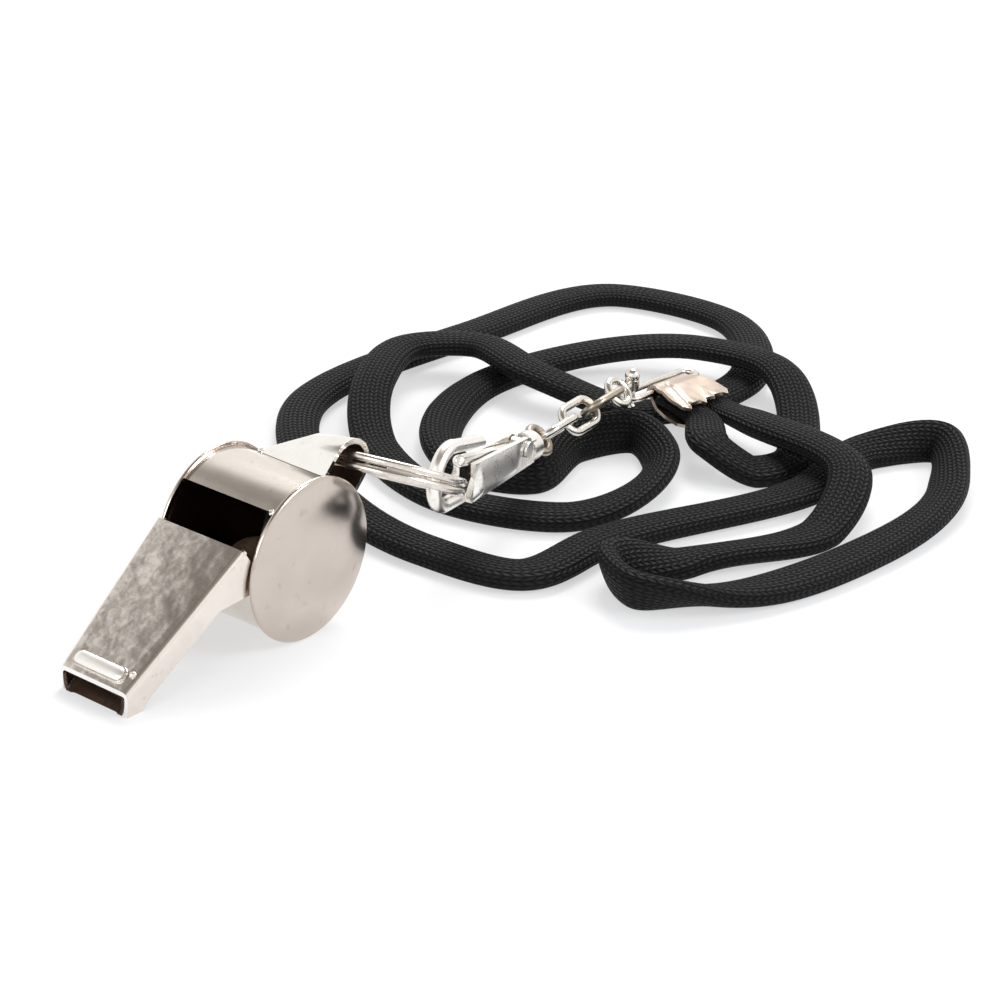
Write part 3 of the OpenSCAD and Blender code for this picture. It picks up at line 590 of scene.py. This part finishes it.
def weave_group():
    tree, given, result = group("knit_weave", {"Column": 1.1, "Step": 1.0, "Slant": 0.6},
                                ["Height", "Gap"])
    place = add(tree, "ShaderNodeUVMap", uv_map="braid")
    uv = add(tree, "ShaderNodeSeparateXYZ", {"Vector": place.outputs[0]})
    column = math_node(tree, "FRACT", math_node(tree, "DIVIDE", uv.outputs["X"],
                                                given.outputs["Column"]))
    aside = math_node(tree, "ABSOLUTE", math_node(
        tree, "SUBTRACT", math_node(tree, "MULTIPLY", column, 2.0), 1.0))
    slid = math_node(tree, "ADD", math_node(tree, "DIVIDE", uv.outputs["Y"], given.outputs["Step"]),
                     math_node(tree, "MULTIPLY", aside, given.outputs["Slant"]))
    along = math_node(tree, "FRACT", slid)
    width = math_node(tree, "SINE", math_node(tree, "MULTIPLY", aside, math.pi))
    length = math_node(tree, "SINE", math_node(tree, "MULTIPLY", along, math.pi))
    height = math_node(tree, "POWER", math_node(tree, "MULTIPLY", width, length), STITCH_FULLNESS)
    gap = math_node(tree, "SUBTRACT", 1.0, height, clamp=True)
    tree.links.new(height, result.inputs["Height"])
    tree.links.new(gap, result.inputs["Gap"])
    return tree


weave = weave_group()
print("group:", weave.name)

# %% Braid material
THREAD, FADED_THREAD = (0.0055, 0.0055, 0.0065, 1), (0.009, 0.009, 0.0105, 1)
THREAD_GAP, STITCH_DEPTH = (0.0012, 0.0012, 0.0015, 1), 0.0004

braid_mat, tree = material("black_braid")
stitch = use(tree, weave, Column=STITCH_COLUMN, Step=STITCH_STEP, Slant=STITCH_SLANT)
fade = use(tree, tarnish, Scale=60.0, Amount=0.7, Shift=0.0)
thread = blend_colour(tree, fade.outputs["Haze"], THREAD, FADED_THREAD)
shade = blend_colour(tree, stitch.outputs["Gap"], thread, THREAD_GAP)
knit = add(tree, "ShaderNodeBump", {"Height": stitch.outputs["Height"], "Strength": 1.0,
                                    "Distance": STITCH_DEPTH})
dull = add(tree, "ShaderNodeMapRange", {"Value": stitch.outputs["Gap"], "To Min": 0.5,
                                        "To Max": 0.85})
shader = add(tree, "ShaderNodeBsdfPrincipled", {
    "Base Color": shade, "Roughness": dull.outputs[0], "Normal": knit.outputs[0],
    "Specular IOR Level": 0.17})
add(tree, "ShaderNodeOutputMaterial", {"Surface": shader.outputs[0]})
braid.data.materials.append(braid_mat)
print("braid material:", braid_mat.name)

# %% [markdown]
# ## Cork
# The pea is a ball of cork: pale brown, with darker pores and a slightly rough skin, though its
# tones are painted darker than that, as painted shade. Little of it shows through the window, but it
# shows when the whistle is turned. Noise gives the grain and cells give the pores, which is cheaper
# than carving holes into so small a ball.

# %% Cork material
# Both cork tones are painted darker than cork's own, as painted shade
CORK_DARK, CORK_PALE = (0.11, 0.065, 0.04, 1), (0.22, 0.135, 0.08, 1)
PORE_SHADE, PORE_DEPTH = (0.35, 0.35, 0.35, 1), 0.0003

cork_mat, tree = material("cork_with_painted_shade")
spot = add(tree, "ShaderNodeTexCoord").outputs["Object"]
grain = add(tree, "ShaderNodeTexNoise", {"Vector": spot, "Scale": 700.0, "Detail": 5.0})
pores = add(tree, "ShaderNodeTexVoronoi", {"Vector": spot, "Scale": 1100.0})
cork_tone = ramp(tree, grain.outputs["Fac"], [(0.35, CORK_DARK), (0.65, CORK_PALE)])
pit = ramp(tree, pores.outputs["Distance"], [(0.08, PORE_SHADE), (0.22, (1, 1, 1, 1))])
dark = blend_colour(tree, 1.0, cork_tone, pit, "MULTIPLY")
bumps = add(tree, "ShaderNodeBump", {"Height": pores.outputs["Distance"], "Strength": 0.5,
                                     "Distance": PORE_DEPTH})
shader = add(tree, "ShaderNodeBsdfPrincipled", {"Base Color": dark, "Roughness": 0.85,
                                                "Normal": bumps.outputs[0]})
add(tree, "ShaderNodeOutputMaterial", {"Surface": shader.outputs[0]})
pea = frame["nodes"]["pea"].data
pea.materials.clear()
pea.materials.append(cork_mat)
print("cork on the pea:", cork_mat.name)

# %% [markdown]
# ## Soft edges on the pressed pieces
# The frame's solids have mathematically sharp edges. Sheet metal that was cut, pressed and
# tumbled has none: every edge is a tiny round that catches a thin bright line. A bevel node in the
# shader would only paint that line, so each rigid piece is a copy of its own solid with its points
# joined again and a small bevel on its sharp edges. The roof's bent corners are rounder still, so
# they are bevelled first, in the mesh.

# %% Dress a node
BODY_OF = {node: body for body, nodes in frame["record"]["behaviour"]["bodies"].items()
           for node in nodes}
JOIN_WITHIN, FLAT_WITHIN = 0.000004, math.radians(0.6)
SHARP_FROM, EDGE_STEPS, BEND_STEPS = math.radians(32), 3, 6


def dress(node, finish, edge, bend=None, bend_r=0.5):
    """A copy of a solid with rounded edges, in millimetres; bend picks the sheet's bent corners."""
    mesh = frame["nodes"][node].data.copy()
    mesh.name = node + "_shell"
    work = bmesh.new()
    work.from_mesh(mesh)
    bmesh.ops.remove_doubles(work, verts=work.verts, dist=JOIN_WITHIN)
    bmesh.ops.dissolve_limit(work, angle_limit=FLAT_WITHIN, verts=work.verts, edges=work.edges)
    if bend:
        work.normal_update()
        corners = [e for e in work.edges if len(e.link_faces) == 2 and bend(e)]
        print(node, "bent corners:", len(corners))
        bmesh.ops.bevel(work, geom=corners, offset=bend_r * MM, segments=BEND_STEPS, profile=0.5,
                        affect="EDGES", clamp_overlap=True)
    work.to_mesh(mesh)
    work.free()
    mesh.materials.clear()
    piece = stand(mesh.name, mesh, finish)
    if "custom_normal" in mesh.attributes:
        mesh.attributes.remove(mesh.attributes["custom_normal"])
    mesh.shade_smooth()
    if edge:
        bevel = piece.modifiers.new("edge", "BEVEL")
        bevel.width, bevel.segments = edge * MM, EDGE_STEPS
        bevel.limit_method, bevel.angle_limit = "ANGLE", SHARP_FROM
        bevel.use_clamp_overlap, bevel.harden_normals = True, True
    mesh.set_sharp_from_angle(angle=SHARP_FROM)
    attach(piece, BODY_OF[node])
    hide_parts(node)
    return piece


print("nodes with a body:", len(BODY_OF))

# %% Dress the rigid nodes
# Finish and edge radius in millimetres; a wire has no edge
EDGES = {
    # The windway insert takes the near-black inside finish, as painted shade
    "barrel_band": ("band", 0.2), "windway_insert": ("inside", 0.05), "ring_lug": ("lug", 0.12),
    "hook_body": ("hook", 0.25), "hook_gate": ("hook", 0.12), "gate_rivet": ("hook", 0.08),
    "gate_spring": ("spring", 0.03), "hook_swivel": ("swivel", 0.1), "chain_link_a": ("link", 0),
    # chain_link_c takes the swivel's dark metal as painted shade, where it lies in shadow
    "chain_link_b": ("link", 0), "chain_link_c": ("swivel", 0), "swivel_knob": ("link", 0.08),
    "wire_loop": ("link", 0)}
shells = {node: dress(node, FINISHES[finish], edge) for node, (finish, edge) in EDGES.items()}
print("dressed:", len(shells))

# %% Dress the roof
ROOF_SLOPE = math.radians(35)
ROOF_EDGE, ROOF_BEND_R = 0.05, 0.42
# How nearly a face has to look up the plate's height, or out of it, beside such a corner
BEND_TOP, BEND_SIDE = 0.95, 0.8
roof_x = Vector((math.cos(ROOF_SLOPE), 0, math.sin(ROOF_SLOPE)))
roof_z = Vector((-math.sin(ROOF_SLOPE), 0, math.cos(ROOF_SLOPE)))


def roof_bend(edge):
    """An outer corner where the roof plate turns down, into a flange or at the mouth."""
    normals = [face.normal for face in edge.link_faces]
    top = [n for n in normals if n.dot(roof_z) > BEND_TOP]
    down = [n for n in normals if abs(n.y) > BEND_SIDE or n.dot(roof_x) < -BEND_TOP]
    return len(top) == 1 and len(down) == 1


shells["mouthpiece_roof"] = dress("mouthpiece_roof", FINISHES["roof"], ROOF_EDGE, roof_bend,
                                  ROOF_BEND_R)
print("roof faces:", len(shells["mouthpiece_roof"].data.polygons))

# %% [markdown]
# ## The two cheeks
# Each cheek is a disc pressed into a shallow dome, with a thin rim that stands out past the band.
# A smooth modifier on the frame's disc would keep its facets in the mirror, and a dome that is
# hardly curved bends a reflection a lot. So the profile is drawn as a curve, fine enough to show no
# facet, and turned round the barrel's axis.

# %% Cheek profile
CHEEK_R, CHEEK_BASE, CHEEK_BULGE, SHEET = 11.0, 7.55, 1.5, 0.5
CHEEK_TURNS, DOME_STEPS, DOME_POWER, DOME_INSET = 144, 30, 3.8, 0.22
# Round the rim: how far in from its radius, and how high above the band's end
RIM = ((0.08, 0.44), (0.02, 0.34), (0, 0.22), (0.02, 0.1), (0.08, 0.02), (0.2, 0.0), (1.1, 0.0))
CUP_INSET, CUP_DEPTH, CUP_POWER, CUP_STEPS = 1.2, 0.9, 7, 7


def cheek_profile():
    """Radius and height above the band's end, from the middle of the outside to the inside."""
    outer = []
    for k in range(DOME_STEPS + 1):
        r = (CHEEK_R - DOME_INSET) * math.sin(k / DOME_STEPS * math.pi / 2)
        fall = (r / CHEEK_R) ** DOME_POWER
        outer.append((r, CHEEK_BULGE - (CHEEK_BULGE - SHEET) * fall))
    rim = [(CHEEK_R - inset, height) for inset, height in RIM]
    inner = []
    for k in range(CUP_STEPS + 1):
        r = (CHEEK_R - CUP_INSET) * math.cos(k / CUP_STEPS * math.pi / 2)
        inner.append((r, CUP_DEPTH * (1 - (r / CHEEK_R) ** CUP_POWER)))
    return outer + rim + inner


print("points of the profile:", len(cheek_profile()))

# %% Cheeks
CHEEK_SHARP, CUP_EDGE, CUP_LEAN, ON_AXIS = math.radians(40), 1.15, 0.2, 1e-6


def turned(name, profile, turns, centre, axis_sign):
    """The profile turned round the barrel's axis, its height running out along y."""
    points, faces, rows = [], [], []
    for r, h in profile:
        if r < ON_AXIS:
            rows.append([len(points)])
            points.append(Vector((0, axis_sign * h, 0)))
            continue
        rows.append(list(range(len(points), len(points) + turns)))
        for k in range(turns):
            a = 2 * math.pi * k / turns
            points.append(Vector((r * math.cos(a), axis_sign * h, r * math.sin(a))))
    for one, two in zip(rows, rows[1:]):
        for k in range(turns):
            quad = [one[k % len(one)], one[(k + 1) % len(one)],
                    two[(k + 1) % len(two)], two[k % len(two)]]
            quad = list(dict.fromkeys(quad))
            faces.append(quad if axis_sign > 0 else quad[::-1])
    mesh = bpy.data.meshes.new(name)
    mesh.from_pydata([p * MM + centre for p in points], [], faces)
    mesh.shade_smooth()
    mesh.set_sharp_from_angle(angle=CHEEK_SHARP)
    return stand(name, mesh, FINISHES["cheek"], FINISHES["inside"])


for side_name, sign in (("left", 1), ("right", -1)):
    base = Vector((barrel.x, sign * CHEEK_BASE * MM, barrel.z))
    cheek = turned("cheek_dome_" + side_name, cheek_profile(), CHEEK_TURNS, base, sign)
    # The cup's faces inside the chamber get the dark finish, as painted shade
    for face in cheek.data.polygons:
        radius = math.hypot(face.center.x - base.x, face.center.z - base.z) / MM
        if face.normal.y * sign < -CUP_LEAN and radius < CHEEK_R - CUP_EDGE:
            face.material_index = 1
    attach(cheek, "whistle")
    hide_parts("cheek_" + side_name)
    print(cheek.name, "faces:", len(cheek.data.polygons))

# %% [markdown]
# ## The dark inside
# Nobody polishes the inside of a whistle: the brass there is brown and dull. Its finish is painted
# darker still, near black, as painted shade for the chamber, where light that gets in through the
# window hardly comes out again. One solid holds both sides of a sheet, so the finish is chosen face
# by face, by where a face lies and which way it looks. The roof's turned-down flanges and the lip of
# the mouth are picked the same way and get a paler nickel than its top: a painted highlight where
# the same sheet turns to the light.

# %% Inside faces
CHAMBER_R, CHAMBER_SLACK = 9.9, 0.2
TROUGH_FROM, ROOF_UNDER, LIP_FROM = -0.009, 2.2, -0.02
LUG_TURN = math.radians(44)
# How far a face's direction has to lean one way to be counted as looking there
LOOKS_UP, LOOKS_OUT, HOOD_UNDER, HOOD_IN = 0.5, 0.3, 0.25, 0.2


def paint(node, finish, chosen):
    piece = shells[node]
    piece.data.materials.append(FINISHES[finish])
    place, count = len(piece.data.materials) - 1, 0
    for face in piece.data.polygons:
        if chosen(face.center - barrel, face.normal):
            face.material_index, count = place, count + 1
    print(piece.name, finish, "faces:", count)


def in_chamber(c, n):
    """The band's inside, and the top of its run-out under the mouthpiece, given the painted shade."""
    inward = -(c.x * n.x + c.z * n.z) > 0
    near = math.hypot(c.x, c.z) / MM < CHAMBER_R + CHAMBER_SLACK
    trough = c.dot(roof_x) < TROUGH_FROM and n.dot(roof_z) > LOOKS_UP
    return (near and inward) or trough


# The roof plate's underside, given the painted shade
def under_roof(c, n):
    return n.dot(roof_z) < -LOOKS_UP and c.dot(roof_z) / MM > CHEEK_R - ROOF_UNDER


def in_hood(c, n):
    """The hollow side of the ring's lug, given the painted shade."""
    unturn = Matrix.Rotation(-LUG_TURN, 3, "Y")
    c, n = unturn @ c, unturn @ n
    return n.z < -HOOD_UNDER or n.x * c.x < -HOOD_IN * abs(c.x)


# Painted shade on the band's inside, the roof's underside and the lug's hood
paint("barrel_band", "inside", in_chamber)
# Painted highlight: the flanges get a paler nickel than the roof's top
paint("mouthpiece_roof", "flange", lambda c, n: abs(n.y) > LOOKS_OUT)
paint("mouthpiece_roof", "inside", under_roof)
# Painted highlight on the lip of the mouth
paint("mouthpiece_roof", "bead",
      lambda c, n: n.dot(roof_x) < -LOOKS_OUT and c.dot(roof_x) < LIP_FROM)
paint("ring_lug", "inside", in_hood)

# %% [markdown]
# ## The split ring
# A split ring is one wire wound twice, side by side, with a short climb from one turn to the next
# between its cut ends. Smoothing the frame's eight-sided wire would shrink it; so the same winding
# is worked out again and swept with more steps.

# %% Split ring
RING_R, RING_WIRE, RING_PITCH, RING_CLIMB = 9.4, 1.1, 1.3, 50.0
RING_YAW, RING_TIP, RING_ROLL = (math.radians(a) for a in (-23, 23.1235, -16))
LUG_EYE = Vector((18.1194, -3.2, 20.783))
TWO_TURNS, RING_OVERLAP, CUT_SHARE = 720, 20, 0.8
RING_SIDES, RING_STEP, RING_SHARP = 18, 5.0, math.radians(50)

lean = Matrix.Rotation(RING_YAW, 3, "Z") @ Matrix.Rotation(RING_TIP, 3, "Y")
spin = np.array(lean @ Matrix.Rotation(RING_ROLL, 3, "X"))
middle = LUG_EYE + lean @ Vector((RING_R, 0, 0))
angles = np.arange(RING_CLIMB - RING_OVERLAP, TWO_TURNS + RING_OVERLAP - RING_CLIMB + 0.01,
                   RING_STEP)
climb = np.clip((angles - TWO_TURNS / 2) / RING_CLIMB + 0.5, 0, 1) - 0.5
a = np.radians(angles + 90)
local = np.stack([RING_R * np.cos(a), RING_R * np.sin(a), RING_PITCH * climb], 1)
line = (local @ spin.T + np.array(middle)) * MM
outward = np.stack([np.cos(a), np.sin(a), np.zeros_like(a)], 1) @ spin.T
upright = np.tile(spin @ np.array([0, 0, 1.0]), (len(a), 1))
b = np.linspace(0, 2 * np.pi, RING_SIDES, endpoint=False)
circle = np.stack([np.cos(b), np.sin(b)], 1) * RING_WIRE / 2 * MM
thick = np.ones(len(a))
thick[[0, -1]] = CUT_SHARE
ring, _ = sweep("split_ring_wire", line, outward, upright, circle[None] * thick[:, None, None])
ring.data.materials.append(FINISHES["ring"])
ring.data.set_sharp_from_angle(angle=RING_SHARP)
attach(ring, "ring")
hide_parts("split_ring")
print("ring turns:", round((angles[-1] - angles[0]) / 360, 2))

# %% [markdown]
# ## Small things on the whistle
# The bite bar is a raised, rounded bead that the front teeth hold on to. Where sheets were
# soldered, small drops of metal were left: at the right end of the lip, beside the bead, and in a
# ragged seam at the foot of the ring's lug. A bump in the roof's shader would leave their outlines
# flat, so they are meshes: balls whose points are moved by a rule for each kind.

# %% Bite bar
# The roof's far end is this high over the table, which says how far the roof reaches
TIP_HEIGHT = 3.3
ROOF_REACH = (CHEEK_R * (1 + math.cos(ROOF_SLOPE)) - TIP_HEIGHT) / math.sin(ROOF_SLOPE)
BEAD_L, BEAD_W, BEAD_H = 8.5, 2.4, 0.7
BEAD_BACK, BEAD_ASIDE, BEAD_SUNK = 1.8, 0.25, 0.05


def roof_point(x, y, z):
    """A point in millimetres up the roof, across it and square to it."""
    return barrel + (roof_x * x + Vector((0, 1, 0)) * y + roof_z * z) * MM


def from_ball(name, finish, ball, place, **steps):
    """A smooth mesh from a ball of radius 1, each of its points moved to its own place."""
    mesh = bpy.data.meshes.new(name)
    work = bmesh.new()
    ball(work, radius=1, **steps)
    for v in work.verts:
        v.co = place(v.co)
    work.to_mesh(mesh)
    work.free()
    mesh.shade_smooth()
    return stand(name, mesh, finish)


def on_bead(p):
    """The ball flattened to the bead's height, its two halves moved apart along the bead."""
    apart = 0 if abs(p.x) < ON_AXIS else math.copysign((BEAD_L - BEAD_W) / 2, p.x)
    return roof_point(BEAD_BACK - ROOF_REACH - p.y * BEAD_W / 2,
                      BEAD_ASIDE + p.x * BEAD_W / 2 + apart, CHEEK_R - BEAD_SUNK + p.z * BEAD_H)


# The bar takes the whiter bead nickel, a painted highlight
bead = from_ball("bite_bead", FINISHES["bead"], bmesh.ops.create_uvsphere, on_bead,
                 u_segments=40, v_segments=16)
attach(bead, "whistle")
print("bead:", BEAD_L, "mm long")

# %% Solder drops
LUMP_WAVES, LUMP_PUSH = 2.2, 0.12


def drop(name, at, size, seed):
    """A ball of the given half sizes in millimetres, made lumpy by four waves of its own."""
    waves_at = np.random.default_rng(seed).normal(size=(4, 3)) * LUMP_WAVES

    def lumpy(p):
        push = 1 + LUMP_PUSH * sum(math.sin(p.dot(Vector(w)) + k) for k, w in enumerate(waves_at))
        return at + Vector(p[k] * size[k] * push for k in range(3)) * MM

    made = from_ball(name, FINISHES["solder"], bmesh.ops.create_icosphere, lumpy, subdivisions=3)
    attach(made, "whistle")


LIP_TURN, LIP_R, LIP_END = math.radians(36.5), 10.2, -6.9
BY_BEAD_BACK, BY_BEAD_ASIDE, BY_BEAD_UP = 2.5, -4.75, 0.12
SEAM_R, SEAM = 10.5, ((-2.6, 5.1), (-1.9, 5.35), (-1.2, 5.2), (-0.5, 5.0))
lip = barrel + Vector((-math.sin(LIP_TURN), 0, math.cos(LIP_TURN))) * LIP_R * MM
drop("lip_drop", lip + Vector((0, LIP_END, 0)) * MM, (0.42, 0.5, 0.42), 3)
drop("bead_drop", roof_point(BY_BEAD_BACK - ROOF_REACH, BY_BEAD_ASIDE, CHEEK_R + BY_BEAD_UP),
     (0.42, 0.42, 0.36), 5)
for k, (along, across) in enumerate(SEAM):
    foot = Matrix.Rotation(LUG_TURN, 3, "Y") @ Vector((along, across, SEAM_R))
    drop(f"lug_solder_{k}", barrel + foot * MM, (0.5, 0.42, 0.3), 11 + k)
print("drops:", 2 + len(SEAM))

# %% [markdown]
# ## The floor of the mouth
# The lower sheet's front edge isn't straight: pressing the mouthpiece flat has pushed it up at one
# end, which makes the mouth narrower there. Moving the frame's own points would change its size, so
# a thin curved strip stands on the floor instead.

# %% Mouth floor
FLOOR_Z, FLOOR_RISE, FLOOR_T, FLOOR_STEPS = 7.95, 1.15, 0.35, 24
FLOOR_FROM, FLOOR_WIDE, FLOOR_BACK, FLOOR_POWER, FLOOR_LEAN = 1.5, 6.65, 0.25, 1.7, 0.04
points, faces = [], []
for k in range(FLOOR_STEPS + 1):
    share = k / FLOOR_STEPS
    y = FLOOR_FROM - FLOOR_WIDE * share
    rise = FLOOR_RISE * share ** FLOOR_POWER
    for x, z in ((0, 0), (0, rise), (FLOOR_T, rise + FLOOR_LEAN), (FLOOR_T, 0)):
        points.append(roof_point(FLOOR_BACK + x - ROOF_REACH, y, FLOOR_Z + z))
for k in range(FLOOR_STEPS):
    for j in range(4):
        a, b = 4 * k + j, 4 * k + (j + 1) % 4
        faces.append((a, b, b + 4, a + 4))
faces += [(3, 2, 1, 0), tuple(4 * FLOOR_STEPS + j for j in range(4))]
mesh = bpy.data.meshes.new("mouth_floor")
mesh.from_pydata(points, [], faces)
# The strip takes the paler flange nickel, a painted highlight
floor_lip = stand("mouth_floor", mesh, FINISHES["flange"])
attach(floor_lip, "whistle")
print("mouth floor:", FLOOR_WIDE, "mm wide")

# %% [markdown]
# ## The rounded sides of the hook
# A snap hook is cast, and a mould can't have sharp corners, so its shank is rounded outside: a
# broad face that leans up to the light and a narrow one under it, with a soft ridge between. The
# frame has flat walls there, and a bevel rounds only their edges. So a crowned skin lies on each
# wall, from the ring's end to just before the rivet.

# %% Skin of two faces


def closed_skin(name, outer, inner, finish, sharp, flip=False):
    """Two grids of points with the same rows and columns, closed round their rims."""
    rows, cols = len(outer), len(outer[0])
    total = rows * cols
    faces = []
    for i in range(rows - 1):
        for j in range(cols - 1):
            a = i * cols + j
            faces.append((a, a + cols, a + cols + 1, a + 1))
            faces.append(tuple(total + k for k in (a, a + 1, a + cols + 1, a + cols)))
    edge = ([(0, j) for j in range(cols - 1)] + [(i, cols - 1) for i in range(rows - 1)]
            + [(rows - 1, j) for j in range(cols - 1, 0, -1)]
            + [(i, 0) for i in range(rows - 1, 0, -1)])
    rim = [i * cols + j for i, j in edge]
    faces += [(a, b, total + b, total + a) for a, b in zip(rim, rim[1:] + rim[:1])]
    if flip:
        faces = [quad[::-1] for quad in faces]
    mesh = bpy.data.meshes.new(name)
    mesh.from_pydata([p for grid in (outer, inner) for row in grid for p in row], [], faces)
    mesh.shade_smooth()
    mesh.set_sharp_from_angle(angle=math.radians(sharp))
    print(name, "faces:", len(faces))
    return stand(name, mesh, finish)


# %% Hook sides
HOOK_AT, HOOK_YAW, HOOK_TIP = Vector((33.94, -9.98, 12.61)), math.radians(12), math.radians(7.01)
SHANK_FROM, SHANK_TO, WALL_Y, WALL_SUNK = 4.5, 20.0, 1.62, 0.1
# The wall's lower and upper edges where it starts, and how they draw in along it
WALL_START, WALL_LOW, WALL_HIGH, LOW_SLOPE, HIGH_SLOPE = 4.43, -2.5, 3.0, 0.04, -0.026
CROWN, RIDGE, CROWN_POWER, CROWN_FALL = 0.95, -0.42, 1.5, 0.25
EASE_IN, EASE_OUT, LONG_STEPS, TALL_STEPS = 0.09, 0.2, 46, 26


def hook_world(x, y, z):
    place = Matrix.Rotation(HOOK_YAW, 3, "Z") @ Matrix.Rotation(HOOK_TIP, 3, "Y")
    return (HOOK_AT + place @ Vector((x, y, z))) * MM


def shank_grid(sign, crown, ground):
    """Points over a wall: crown is the skin's height over the ground, in the hook's own frame."""
    grid = []
    for along in (i / LONG_STEPS for i in range(LONG_STEPS + 1)):
        x = SHANK_FROM + (SHANK_TO - SHANK_FROM) * along
        low = WALL_LOW + LOW_SLOPE * (x - WALL_START)
        high = WALL_HIGH + HIGH_SLOPE * (x - WALL_START)
        ends = math.sin(min(1, along / EASE_IN, (1 - along) / EASE_OUT) * math.pi / 2)
        row = []
        for s in (-math.cos(math.pi * j / TALL_STEPS) for j in range(TALL_STEPS + 1)):
            off = (s - RIDGE) / ((1 if s > RIDGE else -1) - RIDGE)
            out = crown * ends * (1 - off ** CROWN_POWER) * (1 - CROWN_FALL * along)
            row.append(hook_world(x, sign * (ground + out),
                                  (low + high) / 2 + s * (high - low) / 2))
        grid.append(row)
    return grid


for name, sign in (("shank_skin_near", -1), ("shank_skin_far", 1)):
    skin = closed_skin(name, shank_grid(sign, CROWN, WALL_Y),
                       shank_grid(sign, 0, WALL_Y - WALL_SUNK), FINISHES["hook"], 45, sign > 0)
    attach(skin, BODY_OF["hook_body"])

# %% [markdown]
# ## The clamp
# The cord's two ends are gripped by one piece of thin sheet, bent round the wire loop and squeezed
# flat with pliers. Squeezing leaves a crease and a turned-down corner, and bends some of the teeth.
# A simulation could crumple it, but a formula gives the same dents each time: the sheet's side
# profile is repeated across its width and pushed about there.

# %% Clamp profile
FOLD_R, FOLD_SHARE, PLATE_GAP, FLARE_END = 0.9, 0.2, 1.58, -2.2


def clamp_profile(share):
    """Side view of the sheet: place along it, negative towards the teeth, and height."""
    if abs(share) < FOLD_SHARE:
        a = share / FOLD_SHARE * math.pi / 2
        return FOLD_R * math.cos(a), FOLD_R * math.sin(a)
    out = -(abs(share) - FOLD_SHARE) / (1 - FOLD_SHARE) * CLAMP_L
    opened = min(1, out / FLARE_END)
    smooth = opened * opened * (3 - 2 * opened)
    return out, math.copysign(FOLD_R + (PLATE_GAP - FOLD_R) * smooth, share)


print("clamp's mouth:", round(clamp_profile(1)[1], 2), "mm above its middle")

# %% Creases and teeth
FOLD_HALF_W, CLAMP_HALF_W, WIDEN_BY, WIDEN_POWER = 4.4, 6.0, 0.55, 0.8
TEETH, TOOTH, TEETH_FROM, TOOTH_BEND = 6, 0.95, 0.72, 1.2
CREASE_AT, CREASE_SLANT, CREASE_W, CREASE_DEPTH, CORNER_DROP = 1.6, 0.42, 0.42, 0.3, 0.16
# The dents come in over a part of the plate's length, and the lower teeth are bent less
CREASE_EASE, CORNER_EASE, LOWER_BEND = 6, 3, 0.5
LEAST_Z = END_T_SHARE * CORD_T / MM / 2 + CLAMP_SHEET / 2
BENT = np.random.default_rng(8).uniform(-0.5, 0.7, (2, TEETH))


def clamp_point(share, across):
    """One point of the clamp's sheet, in the clamp's own frame, in millimetres."""
    y, z = clamp_profile(share)
    out = max(0, -y / CLAMP_L)
    widened = min(1, out / WIDEN_BY) ** WIDEN_POWER
    x = across * (FOLD_HALF_W + (CLAMP_HALF_W - FOLD_HALF_W) * widened)
    tooth = (across + 1) / 2 * TEETH
    row = min(TEETH - 1, int(tooth))
    notch = abs(2 * (tooth - row) - 1)
    near_end = max(0, out - TEETH_FROM) / (1 - TEETH_FROM)
    y += TOOTH * notch * near_end
    bend = BENT[0 if share > 0 else 1][row] * near_end ** 2 * (1 - notch) * TOOTH_BEND
    if share <= 0:
        return np.array([x, y, z - bend * LOWER_BEND])
    past = x + CREASE_AT - CREASE_SLANT * y
    crease = math.exp(-(past / CREASE_W) ** 2) * CREASE_DEPTH * min(1, out * CREASE_EASE)
    turned_down = max(0, -past) * CORNER_DROP * min(1, out * CORNER_EASE)
    z += bend - crease - turned_down
    return np.array([x, y, max(z, LEAST_Z) if out > END_IN_SHARE else z])


def clamp_world(p):
    q = Matrix.Rotation(LOOP_TIP, 3, "Y") @ Matrix.Rotation(CLAMP_TIP, 3, "X") @ Vector(p)
    return (CLAMP_AT + q) * MM


print("teeth:", TEETH, "on each plate")

# %% Clamp
CLAMP_ACROSS, CLAMP_RUN, FOLD_STEPS, FOLD_END = 97, 26, 11, 0.17
shares = np.r_[np.linspace(-1, -FOLD_SHARE, CLAMP_RUN),
               np.linspace(-FOLD_END, FOLD_END, FOLD_STEPS), np.linspace(FOLD_SHARE, 1, CLAMP_RUN)]
grid = np.array([[clamp_point(v, u) for u in np.linspace(-1, 1, CLAMP_ACROSS)] for v in shares])
normal = unit(np.cross(np.gradient(grid, axis=0), np.gradient(grid, axis=1)))
skins = [[[clamp_world(p) for p in row] for row in grid + normal * CLAMP_SHEET / 2 * s]
         for s in (1, -1)]
clamp = closed_skin("clamp_sheet", *skins, FINISHES["clamp"], 40)
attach(clamp, BODY_OF["cord_clamp"])
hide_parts("cord_clamp")
